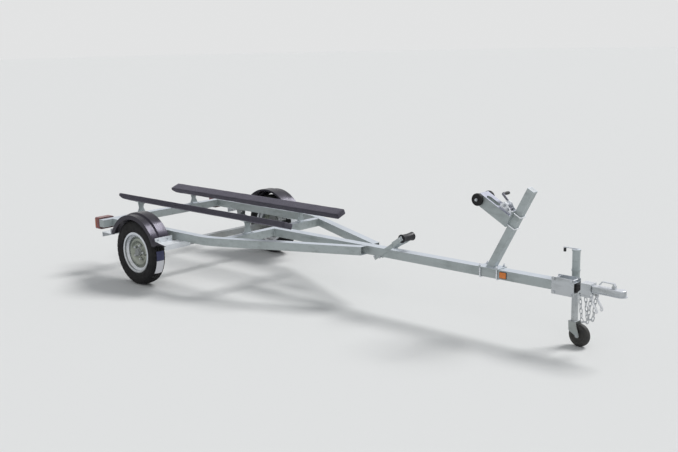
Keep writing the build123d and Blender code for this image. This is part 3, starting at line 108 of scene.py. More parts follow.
# Material helpers
class Shader:
    """A short way to build a node material."""

    def __init__(self, name):
        self.material = bpy.data.materials.new(name)
        self.material.use_nodes = True
        self.tree = self.material.node_tree
        self.bsdf = self.tree.nodes["Principled BSDF"]
        places = self.add("ShaderNodeTexCoord")
        self.position = places.outputs["Object"]
        self.facing = places.outputs["Normal"]

    def add(self, kind, **values):
        node = self.tree.nodes.new(kind)
        for key, value in values.items():
            if hasattr(node, key):
                setattr(node, key, value)
            else:
                node.inputs[key].default_value = value
        return node

    def link(self, a, b):
        self.tree.links.new(a, b)

    def put(self, socket, value):
        """Sets a constant on a socket, or links another node's output to it."""
        if isinstance(value, (int, float)):
            socket.default_value = value
        elif isinstance(value, tuple):
            socket.default_value = (*value, 1)
        else:
            self.link(value, socket)

    def stretched(self, scale):
        mapping = self.add("ShaderNodeMapping")
        mapping.inputs["Scale"].default_value = scale
        self.link(self.position, mapping.inputs["Vector"])
        return mapping.outputs["Vector"]

    def noise(self, scale, detail, vector=None):
        node = self.add("ShaderNodeTexNoise", Scale=scale, Detail=detail, Roughness=0.55)
        self.link(vector or self.position, node.inputs["Vector"])
        return node.outputs["Fac"]

    def cells(self, scale, output):
        node = self.add("ShaderNodeTexVoronoi", Scale=scale)
        self.link(self.position, node.inputs["Vector"])
        return node.outputs[output]

    def up_part(self, vector):
        """How far a vector points up: its Z."""
        node = self.add("ShaderNodeSeparateXYZ")
        self.link(vector, node.inputs[0])
        return node.outputs["Z"]

    def mix(self, factor, a, b):
        node = self.add("ShaderNodeMix", data_type="RGBA")
        for index, value in ((0, factor), (6, a), (7, b)):
            self.put(node.inputs[index], value)
        return node.outputs[2]

    def math(self, kind, a, b):
        node = self.add("ShaderNodeMath", operation=kind)
        self.put(node.inputs[0], a)
        self.put(node.inputs[1], b)
        return node.outputs[0]

    def range(self, value, low, high, to_low, to_high):
        bounds = {"From Min": low, "From Max": high, "To Min": to_low, "To Max": to_high}
        node = self.add("ShaderNodeMapRange", **bounds)
        self.link(value, node.inputs["Value"])
        return node.outputs["Result"]

    def bump(self, height, strength, distance):
        node = self.add("ShaderNodeBump", Strength=strength, Distance=distance)
        self.link(height, node.inputs["Height"])
        if self.bsdf.inputs["Normal"].links:
            self.link(self.bsdf.inputs["Normal"].links[0].from_socket, node.inputs["Normal"])
        self.link(node.outputs["Normal"], self.bsdf.inputs["Normal"])

    def set(self, **values):
        """Sets or links the shader's own sockets, with _ for a space in their names."""
        for key, value in values.items():
            self.put(self.bsdf.inputs[key.replace("_", " ")], value)


def scaled(factor, colour):
    return tuple(factor * part for part in colour)


# Materials
def galvanised(name, low, high, roughness, spangle=90, metal=0.3, painted_top_light=(0.68, 0.72, 0.79)):
    """Hot-dip zinc: faint spangle, cloudy patches, runs, a pale top painted as light from above, and dirt
    low down.
    """
    s = Shader(name)
    cloud = s.noise(5, 6)
    fine = s.noise(60, 3)
    grey = s.math("MULTIPLY_ADD", s.range(s.cells(spangle, "Color"), 0, 1, -0.07, 0.07), 1)
    tone = s.math("ADD", s.range(cloud, 0.3, 0.7, 0, 0.85), grey)
    tone = s.math("ADD", tone, s.range(fine, 0.3, 0.7, -0.08, 0.08))
    colour = s.mix(s.math("MAXIMUM", s.math("MINIMUM", tone, 1), 0), low, high)
    streak = s.noise(3, 5, s.stretched((2, 9, 9)))
    colour = s.mix(s.range(streak, 0.52, 0.72, 0, 0.5), colour, scaled(0.78, low))
    # Painted light from above: faces that point up are mixed towards a pale colour, so tops read lit and
    # sides shaded.
    colour = s.mix(s.range(s.up_part(s.facing), 0.15, 0.85, 0, 0.8), colour, painted_top_light)
    low_down = s.range(s.up_part(s.position), 0.45, 0.12, 0, 0.5)
    dirt = s.math("MULTIPLY", low_down, s.range(cloud, 0.35, 0.65, 0, 1))
    colour = s.mix(dirt, colour, (0.36, 0.33, 0.27))
    rough = s.range(s.noise(14, 5), 0.3, 0.7, roughness - 0.08, roughness + 0.1)
    rough = s.math("ADD", rough, s.math("MULTIPLY", dirt, 0.3))
    s.set(Base_Color=colour, Metallic=metal, Roughness=rough, Specular_IOR_Level=0.3)
    s.bump(s.noise(220, 3), 0.12, 0.0006)
    s.bump(s.noise(18, 4), 0.2, 0.0015)
    return s.material


def rubber(name, base, dust, roughness, dusty):
    """Black rubber with a film of dust and paler specks."""
    s = Shader(name)
    colour = s.mix(s.range(s.noise(9, 6), 0.42, 0.75, 0, dusty), base, dust)
    colour = s.mix(s.range(s.noise(160, 3), 0.45, 0.7, 0, 0.25), colour, scaled(1.7, base))
    rough = s.range(s.noise(25, 5), 0.3, 0.7, roughness - 0.1, roughness + 0.14)
    s.set(Base_Color=colour, Roughness=rough, Specular_IOR_Level=0.3)
    s.bump(s.noise(420, 3), 0.25, 0.0006)
    return s.material


def gloss(name, base, worn, roughness, coat=0, painted_sky_tint=(1, 1, 1)):
    """Moulded or painted gloss with fine scratches, dust film and slight orange peel."""
    s = Shader(name)
    film = s.range(s.noise(6, 6), 0.45, 0.78, 0, 0.4)
    scratch = s.range(s.noise(30, 4, s.stretched((1, 6, 14))), 0.62, 0.72, 0, 0.22)
    colour = s.mix(s.math("MAXIMUM", film, scratch), base, worn)
    rough = s.range(s.noise(12, 5), 0.3, 0.72, roughness - 0.06, roughness + 0.14)
    # The reflections take a tint, a painted reflection of a coloured sky.
    s.set(Base_Color=colour, Roughness=rough, Specular_IOR_Level=0.4, Specular_Tint=painted_sky_tint)
    s.set(Coat_Weight=coat, Coat_Roughness=0.12)
    s.bump(s.noise(90, 2), 0.08, 0.0008)
    return s.material


def carpet(name, base, light):
    """Short-pile marine carpet: tufts, flattened lighter patches and a soft sheen."""
    s = Shader(name)
    tuft = s.cells(520, "Distance")
    lay = s.noise(38, 5)
    patch = s.noise(4.5, 5)
    colour = s.mix(s.range(lay, 0.3, 0.72, 0, 0.8), base, light)
    colour = s.mix(s.range(patch, 0.4, 0.75, 0, 0.35), colour, scaled(1.35, light))
    colour = s.mix(s.range(tuft, 0, 0.6, 0, 0.45), colour, scaled(0.45, base))
    s.set(Base_Color=colour, Roughness=s.range(lay, 0.2, 0.8, 0.86, 1))
    s.set(Sheen_Weight=0.45, Sheen_Roughness=0.5, Sheen_Tint=(0.62, 0.58, 0.7))
    s.bump(s.noise(700, 3), 0.6, 0.0018)
    s.bump(s.noise(60, 4), 0.35, 0.003)
    return s.material


def lens(name, base, deep, facet):
    """Moulded lamp plastic with small inner prisms."""
    s = Shader(name)
    facets = s.cells(facet, "Distance")
    colour = s.mix(s.range(facets, 0.1, 0.6, 0, 0.8), base, deep)
    colour = s.mix(s.range(s.noise(7, 5), 0.5, 0.8, 0, 0.08), colour, (0.5, 0.42, 0.38))
    rough = s.range(s.noise(20, 4), 0.3, 0.7, 0.2, 0.38)
    s.set(Base_Color=colour, Roughness=rough, Coat_Weight=0.15, Coat_Roughness=0.1)
    s.bump(facets, 0.3, 0.001)
    return s.material


ZINC_LOW, ZINC_HIGH = (0.3, 0.335, 0.33), (0.45, 0.495, 0.5)
GALVANISED = galvanised("galvanised", ZINC_LOW, ZINC_HIGH, 0.5)
# A copy of galvanised for the sloped bow arm: rougher, with a dimmer, bluer painted top light.
GALVANISED_DIMMER_PAINTED_LIGHT = galvanised("galvanised_dimmer_painted_light", ZINC_LOW, ZINC_HIGH, 0.64, painted_top_light=(0.47, 0.475, 0.57))
# A lit copy of galvanised for the fender arms: paler all over, a painted highlight.
GALVANISED_PAINTED_LIGHT = galvanised(
    "galvanised_painted_light", (0.62, 0.65, 0.68), (0.8, 0.83, 0.87), 0.36, painted_top_light=(0.88, 0.9, 0.93))
# A shaded copy of galvanised, darker all over: painted shade on the axle, springs, hangers, clamps, hubs
# and post cap.
GALVANISED_PAINTED_SHADE = galvanised(
    "galvanised_painted_shade", (0.22, 0.24, 0.245), (0.35, 0.37, 0.38), 0.55, painted_top_light=(0.48, 0.5, 0.52))
ZINC = galvanised("zinc", (0.36, 0.385, 0.39), (0.56, 0.585, 0.61), 0.3, 240, 0.55, (0.8, 0.82, 0.88))
# A paler copy of zinc, for bright plating with a painted highlight on top: winch frame and drum, U-bolts
# and chain hooks.
ZINC_BRIGHT_PAINTED_LIGHT = galvanised(
    "zinc_bright_painted_light", (0.64, 0.66, 0.69), (0.84, 0.86, 0.9), 0.26, 240, 0.6, (0.9, 0.92, 0.95))
# A shaded copy of zinc, darker all over: painted shade on the winch crank.
ZINC_PAINTED_SHADE = galvanised(
    "zinc_painted_shade", (0.15, 0.15, 0.17), (0.28, 0.28, 0.32), 0.34, 240, 0.55, (0.36, 0.36, 0.42))
RIM = galvanised("rim_zinc", (0.46, 0.49, 0.52), (0.68, 0.71, 0.76), 0.28, 60, 0.8, (0.66, 0.69, 0.74))
# The wheel's disc is a darker, greener copy of the rim's zinc: painted shade inside the wheel and a painted
# green reflection of grass.
DISC_PAINTED_SHADE = galvanised("disc_zinc_painted_shade", (0.17, 0.195, 0.165), (0.31, 0.34, 0.3), 0.32, 60, 0.8, (0.4, 0.43, 0.4))
# Near-black steel for the coupler's neck: painted shade where the neck sits in the shadow of the tongue's
# open end.
STEEL_PAINTED_SHADE = galvanised(
    "steel_painted_shade", (0.018, 0.018, 0.02), (0.05, 0.05, 0.054), 0.5, 150, 0.6, (0.06, 0.06, 0.065))
LABEL = gloss("blank_label", (0.78, 0.78, 0.82), (0.52, 0.51, 0.52), 0.45)
LABEL_BAND = gloss("blank_label_band", (0.055, 0.06, 0.135), (0.16, 0.16, 0.22), 0.45)
# The fender's lavender reflection tint is a painted reflection of the sky.
FENDER = gloss("fender_plastic", (0.006, 0.005, 0.008), (0.024, 0.02, 0.029), 0.28, 0.1, (0.8, 0.74, 1))
PLASTIC = gloss("black_plastic", (0.02, 0.02, 0.022), (0.07, 0.07, 0.07), 0.38)
TYRE = rubber("tyre_rubber", (0.006, 0.006, 0.007), (0.03, 0.028, 0.025), 0.68, 0.3)
ROLLER = rubber("roller_rubber", (0.016, 0.016, 0.02), (0.06, 0.057, 0.066), 0.42, 0.4)
RUBBER = rubber("black_rubber", (0.007, 0.007, 0.008), (0.035, 0.033, 0.032), 0.5, 0.3)
CASTER = rubber("caster_plastic", (0.03, 0.03, 0.03), (0.14, 0.13, 0.11), 0.5, 0.4)
CARPET = carpet("bunk_carpet", (0.05, 0.047, 0.063), (0.092, 0.086, 0.112))
LAMP_RED = lens("lamp_red", (0.27, 0.012, 0.01), (0.11, 0.003, 0.003), 170)
LAMP_DARK = lens("lamp_housing", (0.115, 0.012, 0.012), (0.05, 0.006, 0.006), 170)
LAMP_AMBER = lens("lamp_amber", (0.85, 0.27, 0.03), (0.45, 0.09, 0.01), 170)
AMBER = lens("reflector_amber", (0.9, 0.27, 0.02), (0.66, 0.16, 0.012), 300)


def dress(material, *names):
    """Puts a material on CAD nodes that stay in view."""
    for name in names:
        slots = nodes[name].data.materials
        for index in range(len(slots)):
            slots[index] = material


def pair(*stems):
    return [stem + "_" + side for stem in stems for side, _ in SIDES]


dress(STEEL_PAINTED_SHADE, "coupler_neck")
dress(GALVANISED, "tongue_tube", "front_cross_member", "rear_cross_member", "winch_post", "keel_bracket")
dress(GALVANISED, "jack_tube", "jack_fork", *pair("rail", "bunk_bracket_rear", "bunk_bracket_front"))
dress(GALVANISED_DIMMER_PAINTED_LIGHT, "bow_arm")
dress(GALVANISED_PAINTED_LIGHT, *pair("fender_arms"))
dress(GALVANISED_PAINTED_SHADE, "axle", *pair("spring", "spring_hangers", "axle_clamp"))
dress(ZINC, "bow_bolt", "coupler", "coupler_latch", "jack_mount", "jack_crank", "jack_leg")
dress(ZINC_BRIGHT_PAINTED_LIGHT, "winch_frame")
dress(ZINC_PAINTED_SHADE, "winch_crank")
dress(FENDER, *pair("fender"))

# Mesh helpers
SHARP_ANGLE = math.radians(38)
MERGE_DISTANCE = 0.00001


def new_piece(name, mesh_maker, material, body, slot, replaced=()):
    """Makes one object from a function that fills a bmesh, and ties it to its body; slot is not used."""
    bm = bmesh.new()
    mesh_maker(bm)
    bmesh.ops.remove_doubles(bm, verts=bm.verts, dist=MERGE_DISTANCE)
    bmesh.ops.recalc_face_normals(bm, faces=bm.faces)
    mesh = bpy.data.meshes.new(name)
    bm.to_mesh(mesh)
    bm.free()
    mesh.shade_smooth()
    mesh.set_sharp_from_angle(angle=SHARP_ANGLE)
    mesh.materials.append(material)
    piece = new_object(name, mesh)
    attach(piece, body)
    if replaced:
        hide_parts(*replaced)


def turn_to(axis, side_hint=None):
    """A rotation that takes local Z to the given axis."""
    z = Vector(axis).normalized()
    x = Vector(side_hint) if side_hint else z.orthogonal()
    x = (x - z * x.dot(z)).normalized()
    return Matrix((x, z.cross(x), z)).transposed().to_4x4()


def placed(origin, axis, hint=None):
    return Matrix.Translation(Vector(origin)) @ turn_to(axis, hint)


def along_z(matrix, distance):
    return matrix @ Matrix.Translation((0, 0, distance))


def circle(radius, count, start=0):
    return [polar(radius, start + 2 * math.pi * k / count) for k in range(count)]


def neighbours(rings, closed):
    """Each ring with the next one, and the last with the first where the run is closed."""
    return list(zip(rings, rings[1:] + rings[:1] if closed else rings[1:]))


def lathe(bm, profile, matrix, segments, closed=False):
    """Revolves (radius, height) points round local Z."""
    rings = []
    for radius, height in profile:
        points = circle(radius, segments) if radius > 1e-6 else [(0, 0)]
        rings.append([bm.verts.new(matrix @ Vector((x, y, height))) for x, y in points])
    for a, b in neighbours(rings, closed):
        for k in range(segments):
            n = (k + 1) % segments
            if len(a) == 1:
                bm.faces.new((a[0], b[k], b[n]))
            elif len(b) == 1:
                bm.faces.new((a[k], b[0], a[n]))
            else:
                bm.faces.new((a[k], b[k], b[n], a[n]))


def skin(bm, rings, closed=False):
    """Joins rings of equal length with quads; an open run gets a face at each end."""
    for a, b in neighbours(rings, closed):
        for k in range(len(a)):
            n = (k + 1) % len(a)
            bm.faces.new((a[k], a[n], b[n], b[k]))
    if not closed:
        bm.faces.new(list(reversed(rings[0])))
        bm.faces.new(rings[-1])


def prism(bm, outline, matrix, depth, bevel):
    """Extrudes an outline of local X, Y points along local Z, with small bevels at both ends."""
    count = len(outline)
    centre = Vector((sum(p[0] for p in outline) / count, sum(p[1] for p in outline) / count))
    rings = []
    for height, shrink in ((0, bevel), (bevel, 0), (depth - bevel, 0), (depth, bevel)):
        ring = []
        for x, y in outline:
            away = Vector((x, y)) - centre
            p = Vector((x, y)) - away.normalized() * shrink
            ring.append(bm.verts.new(matrix @ Vector((p.x, p.y, height))))
        rings.append(ring)
    skin(bm, rings)


def tube_along(bm, points, radius, sides, closed=False):
    """A round rod along a line of points; radius is one number, or a list with one for each point."""
    points = [Vector(p) for p in points]
    count = len(points)
    rings = []
    normal = None
    for k, p in enumerate(points):
        before = points[k - 1] if (k or closed) else p
        after = points[(k + 1) % count] if (k < count - 1 or closed) else p
        direction = (after - before).normalized()
        if normal is None:
            normal = direction.orthogonal().normalized()
        normal = (normal - direction * normal.dot(direction)).normalized()
        across = direction.cross(normal)
        r = radius[k] if isinstance(radius, list) else radius
        rings.append([bm.verts.new(p + r * (c * normal + s * across)) for c, s in circle(1, sides)])
    skin(bm, rings, closed)


def curve(start, corner, end, steps):
    """Points on a smooth bend from start to end that leans towards the corner."""
    shares = [k / steps for k in range(steps + 1)]
    return [start * (1 - t) ** 2 + corner * 2 * t * (1 - t) + end * t * t for t in shares]


CORNER_SHARE = 0.45


def rounded(points, radius, steps=4, closed=False):
    """Rounds the corners of a flat line of (a, b) points."""
    out = []
    count = len(points)
    for k, p in enumerate(points):
        if not closed and k in (0, count - 1):
            out.append(p)
            continue
        p0, p1, p2 = Vector(points[k - 1]), Vector(p), Vector(points[(k + 1) % count])
        a, b = p0 - p1, p2 - p1
        cut = min(radius, a.length * CORNER_SHARE, b.length * CORNER_SHARE)
        start, end = p1 + a.normalized() * cut, p1 + b.normalized() * cut
        out += [(q.x, q.y) for q in curve(start, p1, end, steps)]
    return out


def rounded_rectangle(width, height, radius):
    w, h = width / 2, height / 2
    return rounded([(w, h), (-w, h), (-w, -h), (w, -h)], radius * 1.6, 5, True)


# Sides of turned pieces, from wheels to screws
WHEEL_ROUND, ROLLER_ROUND, BOW_ROUND, HUB_ROUND = 96, 72, 64, 48
GRIP_ROUND, SEAT_ROUND, NUT_ROUND, SMALL_ROUND = 32, 24, 20, 16


def turned(name, profile, place, segments, *looks, closed=False):
    """A piece from one lathe; looks are its material, body, slot (not used) and any nodes that it replaces.
    """
    new_piece(name, lambda bm: lathe(bm, profile, place, segments, closed), *looks)


def plate(name, outline, place, depth, bevel, *looks):
    """A piece from one prism, with looks as in turned."""
    new_piece(name, lambda bm: prism(bm, outline, place, depth, bevel), *looks)


# Bolts, as shares of the size given for each, which is just under its washer's radius
WASHER = ((0, 0), (1.05, 0), (1.1, 0.04), (1.1, 0.16), (1.05, 0.2), (0, 0.2))
WASHER_THICK, HEX_RADIUS, HEX_HEIGHT, HEX_BEVEL = 0.2, 0.92, 0.75, 0.09
THREAD_RADIUS, THREAD_BEVEL = 0.48, 0.08


def bolt_head(bm, origin, axis, size, thread=0):
    """A chamfered hex head or nut on its washer; thread gives the bolt's end that shows past it."""
    m = placed(origin, axis)
    lathe(bm, [(size * r, size * h) for r, h in WASHER], m, NUT_ROUND)
    seat = along_z(m, size * WASHER_THICK)
    prism(bm, circle(size * HEX_RADIUS, 6), seat, size * HEX_HEIGHT, size * HEX_BEVEL)
    if thread:
        end = along_z(seat, size * HEX_HEIGHT)
        prism(bm, circle(size * THREAD_RADIUS, 12), end, thread, size * THREAD_BEVEL)


def fasteners(name, places, body="trailer"):
    """Zinc-plated bolt heads or nuts, each given as its place, axis, size and thread."""
    new_piece(name, lambda bm: [bolt_head(bm, *place) for place in places], ZINC, body, "zinc_plate")


# Tyres: the side as (radius, distance out from the wheel's middle), then the tread
TYRE_SIDE = (
    (0.169, 0.0506), (0.172, 0.0524), (0.179, 0.0546), (0.185, 0.0562), (0.1862, 0.0574), (0.1892, 0.0576),
    (0.1904, 0.057), (0.2, 0.0586), (0.212, 0.0593), (0.224, 0.059), (0.235, 0.0578), (0.2358, 0.0588),
    (0.2386, 0.0586), (0.2394, 0.057), (0.247, 0.055), (0.253, 0.0522), (0.2585, 0.0492), (0.2622, 0.0455),
)
TYRE_RADIUS = 0.268
CROWN_HALF, CROWN_DROP = 0.0455, 0.0058
SHOULDER_OUT, SHOULDER_IN = 0.043, 0.034
GROOVES = (0.0225, 0, -0.0225)
GROOVE_HALF, GROOVE_DEPTH, GROOVE_SLANT = 0.003, 0.0065, 0.0006
SHOULDER_LIP, RIB_LIP = 0.001, 0.008
TREAD_PITCHES = 40
SLOT_NARROW, SLOT_WIDE = 1, 2
TREAD_STEPS = (
    (0, 0), (0.36, 0), (0.4, SLOT_NARROW), (0.48, SLOT_NARROW),
    (0.52, 0), (0.72, 0), (0.76, SLOT_WIDE), (0.96, SLOT_WIDE),
)
WIDE_DEPTH, NARROW_DEPTH, RIB_DEPTH, SIDE_DEPTH = 0.0052, 0.0014, 0.003, 0.003
RIB_TURN = 0.012
SIDE_SLOT_FROM = 0.25


def crown(out):
    return TYRE_RADIUS - CROWN_DROP * (out / CROWN_HALF) ** 2


def tyre_profile():
    """The tyre's outside from one bead to the other, with the kind of surface at each point."""
    line = [(r, y, "side") for r, y in TYRE_SIDE]

    def add(kind, *places):
        line.extend((crown(y), y, kind) for y in places)

    add("shoulder", SHOULDER_OUT)
    for middle in GROOVES:
        top, low = middle + GROOVE_HALF, middle - GROOVE_HALF
        if middle == GROOVES[0]:
            add("shoulder", SHOULDER_IN, top + SHOULDER_LIP)
        else:
            add("rib", top + RIB_LIP, top + GROOVE_SLANT)
        line.append((crown(top) - GROOVE_DEPTH, top - GROOVE_SLANT, "floor"))
        line.append((crown(low) - GROOVE_DEPTH, low + GROOVE_SLANT, "floor"))
        if middle == GROOVES[-1]:
            add("shoulder", low - SHOULDER_LIP, -SHOULDER_IN)
        else:
            add("rib", low - GROOVE_SLANT, low - RIB_LIP)
    add("shoulder", -SHOULDER_OUT)
    return line + [(r, -y, "side") for r, y in reversed(TYRE_SIDE)]


def make_tyre(bm, matrix):
    """Lug slots cut across the shoulders and ribs, and three grooves round the tread."""
    line = tyre_profile()
    rings = []
    for pitch in range(TREAD_PITCHES):
        for share, slot in TREAD_STEPS:
            angle = 2 * math.pi * (pitch + share) / TREAD_PITCHES
            ring = []
            for r, y, kind in line:
                shift = 0
                a = angle
                if kind == "shoulder" and slot == SLOT_WIDE:
                    shift = WIDE_DEPTH
                elif kind == "shoulder" and slot == SLOT_NARROW:
                    shift = NARROW_DEPTH
                elif kind == "rib":
                    a += RIB_TURN * (1 if y > 0 else -1)
                    shift = RIB_DEPTH if slot == SLOT_NARROW else 0
                elif kind == "side" and r > SIDE_SLOT_FROM and slot == SLOT_WIDE:
                    shift = SIDE_DEPTH
                ring.append(bm.verts.new(matrix @ Vector((*polar(r - shift, a), y))))
            rings.append(ring)
    skin(bm, rings, True)


# Rims, discs and hubs as (radius, distance out from the wheel's middle)
RIM_OUTER_HALF = (
    (0.168, 0.05), (0.169, 0.0518), (0.166, 0.0535), (0.15, 0.053), (0.1494, 0.05), (0.1492, 0.036),
    (0.1302, 0.026), (0.1292, 0.024),
)
RIM_INNER = (
    (0.1535, -0.0498), (0.1524, -0.0485), (0.1524, -0.0335), (0.1326, -0.0222), (0.1324, 0.0222),
    (0.1524, 0.0335), (0.1524, 0.0485), (0.1535, 0.0498),
)
DISC_SECTION = (
    (0.036, 0.015), (0.038, 0.012), (0.072, 0.012), (0.086, 0.02), (0.094, 0.027), (0.103, 0.0282),
    (0.112, 0.0255), (0.123, 0.0165), (0.1295, 0.016), (0.1295, 0.0085), (0.12, 0.0085), (0.109, 0.019),
    (0.102, 0.0238), (0.096, 0.0232), (0.088, 0.0165), (0.074, 0.0082), (0.036, 0.0082),
)
HUB_SECTION = (
    (0, 0.042), (0.02, 0.042), (0.0255, 0.0395), (0.027, 0.036), (0.027, 0.025), (0.034, 0.0242),
    (0.0342, 0.008), (0.0712, 0.0079), (0.0714, -0.0008), (0.0345, -0.0012), (0.034, -0.0525),
    (0.0176, -0.053),
)
LUG_RADIUS, LUG_COUNT, LUG_FACE = 0.05715, 5, 0.012
LUG_NUT_RADIUS, LUG_NUT_HEIGHT, LUG_NUT_BEVEL = 0.0112, 0.0105, 0.0012
LUG_NUT_FROM = 0.0035
LUG_SEAT = ((0, 0), (0.0105, 0), (0.0118, LUG_NUT_FROM), (0, LUG_NUT_FROM))
LUG_CAP = ((0, 0.0205), (0.0085, 0.0185), (0.0098, 0.014), (0, 0.014))
VALVE = ((0, 0.03), (0.004, 0.03), (0.004, 0.018), (0.0052, 0.014), (0.0052, 0), (0, 0))
VALVE_AT, VALVE_AXIS = (0.14, 0, 0.03), (-0.35, 0, 1)


def make_lugs(bm, matrix):
    for k in range(LUG_COUNT):
        a = 2 * math.pi * k / LUG_COUNT
        at = matrix @ Matrix.Translation((*polar(LUG_RADIUS, a), LUG_FACE))
        lathe(bm, LUG_SEAT, at, SEAT_ROUND)
        outline = circle(LUG_NUT_RADIUS, 6, a)
        prism(bm, outline, along_z(at, LUG_NUT_FROM), LUG_NUT_HEIGHT, LUG_NUT_BEVEL)
        lathe(bm, rounded(LUG_CAP, 0.002), at, NUT_ROUND)


def mirrored(half, middle=()):
    """Profile points, and the same points in turn on the other side."""
    return (*half, *middle, *((r, -y) for r, y in reversed(half)))


def wheel_place(sign):
    return Matrix.Translation((AXLE_X, sign * WHEEL_Y, WHEEL_Z)) @ turn_to((0, sign, 0), (1, 0, 0))


RIM_PROFILE = rounded(mirrored(RIM_OUTER_HALF) + RIM_INNER, 0.0016, 3, True)
DISC_PROFILE = rounded(DISC_SECTION, 0.003, 3, True)
HUB_PROFILE = rounded(HUB_SECTION, 0.0012, 2)
for side, sign in SIDES:
    middle = wheel_place(sign)
    body = "wheel_" + side
    new_piece("tyre_tread_" + side, lambda bm: make_tyre(bm, middle), TYRE, body, "tyre", ["tyre_" + side])
    turned(
        "pressed_rim_" + side, RIM_PROFILE, middle, WHEEL_ROUND,
        RIM, body, "rim_paint", ["rim_" + side], closed=True,
    )
    turned("wheel_disc_" + side, DISC_PROFILE, middle, WHEEL_ROUND, DISC_PAINTED_SHADE, body, "rim_paint", closed=True)
    turned(
        "wheel_hub_" + side, HUB_PROFILE, middle, HUB_ROUND,
        GALVANISED_PAINTED_SHADE, body, "zinc_plate", ["hub_" + side],
    )
    new_piece("lug_nuts_" + side, lambda bm: make_lugs(bm, middle), ZINC, body, "zinc_plate")
    valve_at = middle @ Matrix.Translation(VALVE_AT) @ turn_to(VALVE_AXIS)
    stem = rounded(VALVE, 0.001)
    turned("valve_stem_" + side, stem, valve_at, SMALL_ROUND, RUBBER, body, "black_rubber")

# Carpeted bunks
BUNK_START, BUNK_END = AXLE_X - 0.86, AXLE_X + 1.29
BUNK_Y, BUNK_Z = 0.296, 0.574
BUNK_HALF_WIDTH, BUNK_HALF_THICK = 0.0482, 0.0237
BUNK_TILT = math.radians(20)
BEVEL_RUN, BEVEL_RISE, NOSE_DROP = 0.062, 0.024, 0.01
BUNK_POINTS, BUNK_STEPS = 40, 120
BUNK_SQUARENESS = 0.22
BUNK_REAR_EDGE = ((0, 0.005), (0.0012, 0.0028), (0.004, 0.001), (0.009, 0))
BUNK_FRONT_EDGE = ((0.009, 0), (0.004, 0.0018), (0.0012, 0.005), (0, 0.009))
CARPET_WAVE, CARPET_SINK = 0.0005, 0.0009
FOLD_REACH, FOLD_THICK = 0.0385, 0.003
REAR_FOLD_HALF, REAR_FOLD_SINK = 0.029, 0.0022
FRONT_FOLD_HALF, FRONT_FOLD_SINK = 0.0165, 0.0034


def bunk_axes(sign):
    """The board's direction across its width and the one square to its face."""
    across = Vector((0, math.cos(BUNK_TILT) * sign, math.sin(BUNK_TILT)))
    return across, Vector((0, -math.sin(BUNK_TILT) * sign, math.cos(BUNK_TILT)))


def bunk_section(shrink):
    """A rounded rectangle whose flats are very slightly crowned by the carpet."""
    outline = []
    for c, s in circle(1, BUNK_POINTS):
        x = math.copysign(abs(c) ** BUNK_SQUARENESS, c) * BUNK_HALF_WIDTH
        y = math.copysign(abs(s) ** BUNK_SQUARENESS, s) * BUNK_HALF_THICK
        inset_x = math.copysign(min(shrink, abs(x)), x)
        inset_y = math.copysign(min(shrink, abs(y)), y)
        outline.append((x - inset_x, y - inset_y))
    return outline


def make_bunk(bm, sign, seed):
    rng = random.Random(seed)
    phases = [rng.uniform(0, 6.28) for _ in range(3)]
    across, square = bunk_axes(sign)
    centre = Vector((0, BUNK_Y * sign, BUNK_Z))
    stations = [(BUNK_START + at, shrink) for at, shrink in BUNK_REAR_EDGE]
    edge = BUNK_REAR_EDGE[-1][0]
    for k in range(1, BUNK_STEPS):
        stations.append((BUNK_START + edge + (BUNK_END - BUNK_START - 2 * edge) * k / BUNK_STEPS, 0))
    stations += [(BUNK_END - at, shrink) for at, shrink in BUNK_FRONT_EDGE]
    rings = []
    for x, shrink in stations:
        ring = []
        for j, (w, n) in enumerate(bunk_section(shrink)):
            wave = math.sin(11 * x + phases[0]) + math.sin(29 * x + phases[1] + j * 0.3)
            wave += 0.8 * math.sin(57 * x + phases[2] - j * 0.5)
            lift = CARPET_WAVE * wave - CARPET_SINK
            away = Vector((w, n)).normalized()
            bevel = BEVEL_RISE * (1 - (x - BUNK_START) / BEVEL_RUN)
            n = max(n, bevel - BUNK_HALF_THICK + CARPET_SINK)
            n = min(n, BUNK_HALF_THICK - max(0, NOSE_DROP - (x - BUNK_START)))
            p = centre + across * (w + away.x * lift) + square * (n + away.y * lift)
            ring.append(bm.verts.new((x, p.y, p.z)))
        rings.append(ring)
    skin(bm, rings)


def make_bunk_folds(bm, sign):
    """The carpet's corners folded over each end of the board, like a parcel."""
    across, square = bunk_axes(sign)
    slant = math.atan2(BEVEL_RISE, BEVEL_RUN)
    rear_out = -square * math.cos(slant) - Vector((math.sin(slant), 0, 0))
    rear_up = square * math.sin(slant) - Vector((math.cos(slant), 0, 0))
    rear = Vector((BUNK_START + BEVEL_RUN / 2, BUNK_Y * sign, BUNK_Z))
    rear += square * (BEVEL_RISE / 2 - BUNK_HALF_THICK)
    front = Vector((BUNK_END - FRONT_FOLD_SINK, BUNK_Y * sign, BUNK_Z))
    for origin, up, out, half in (
        (rear - rear_out * REAR_FOLD_SINK, rear_up, rear_out, REAR_FOLD_HALF),
        (front, square, Vector((1, 0, 0)), FRONT_FOLD_HALF),
    ):
        for part in BOTH:
            m = Matrix.Translation(origin) @ Matrix((across * part, up, out)).transposed().to_4x4()
            outline = rounded([(FOLD_REACH, half), (0.0025, 0.001), (FOLD_REACH, -half)], 0.003, 3, True)
            if m.determinant() < 0:
                outline = list(reversed(outline))
            prism(bm, outline, m, FOLD_THICK, 0.0008)


for side, sign in SIDES:
    new_piece(
        "bunk_carpet_" + side, lambda bm: make_bunk(bm, sign, 11 + sign),
        CARPET, "trailer", "carpet", ["bunk_" + side],
    )
    new_piece("bunk_end_folds_" + side, lambda bm: make_bunk_folds(bm, sign), CARPET, "trailer", "carpet")

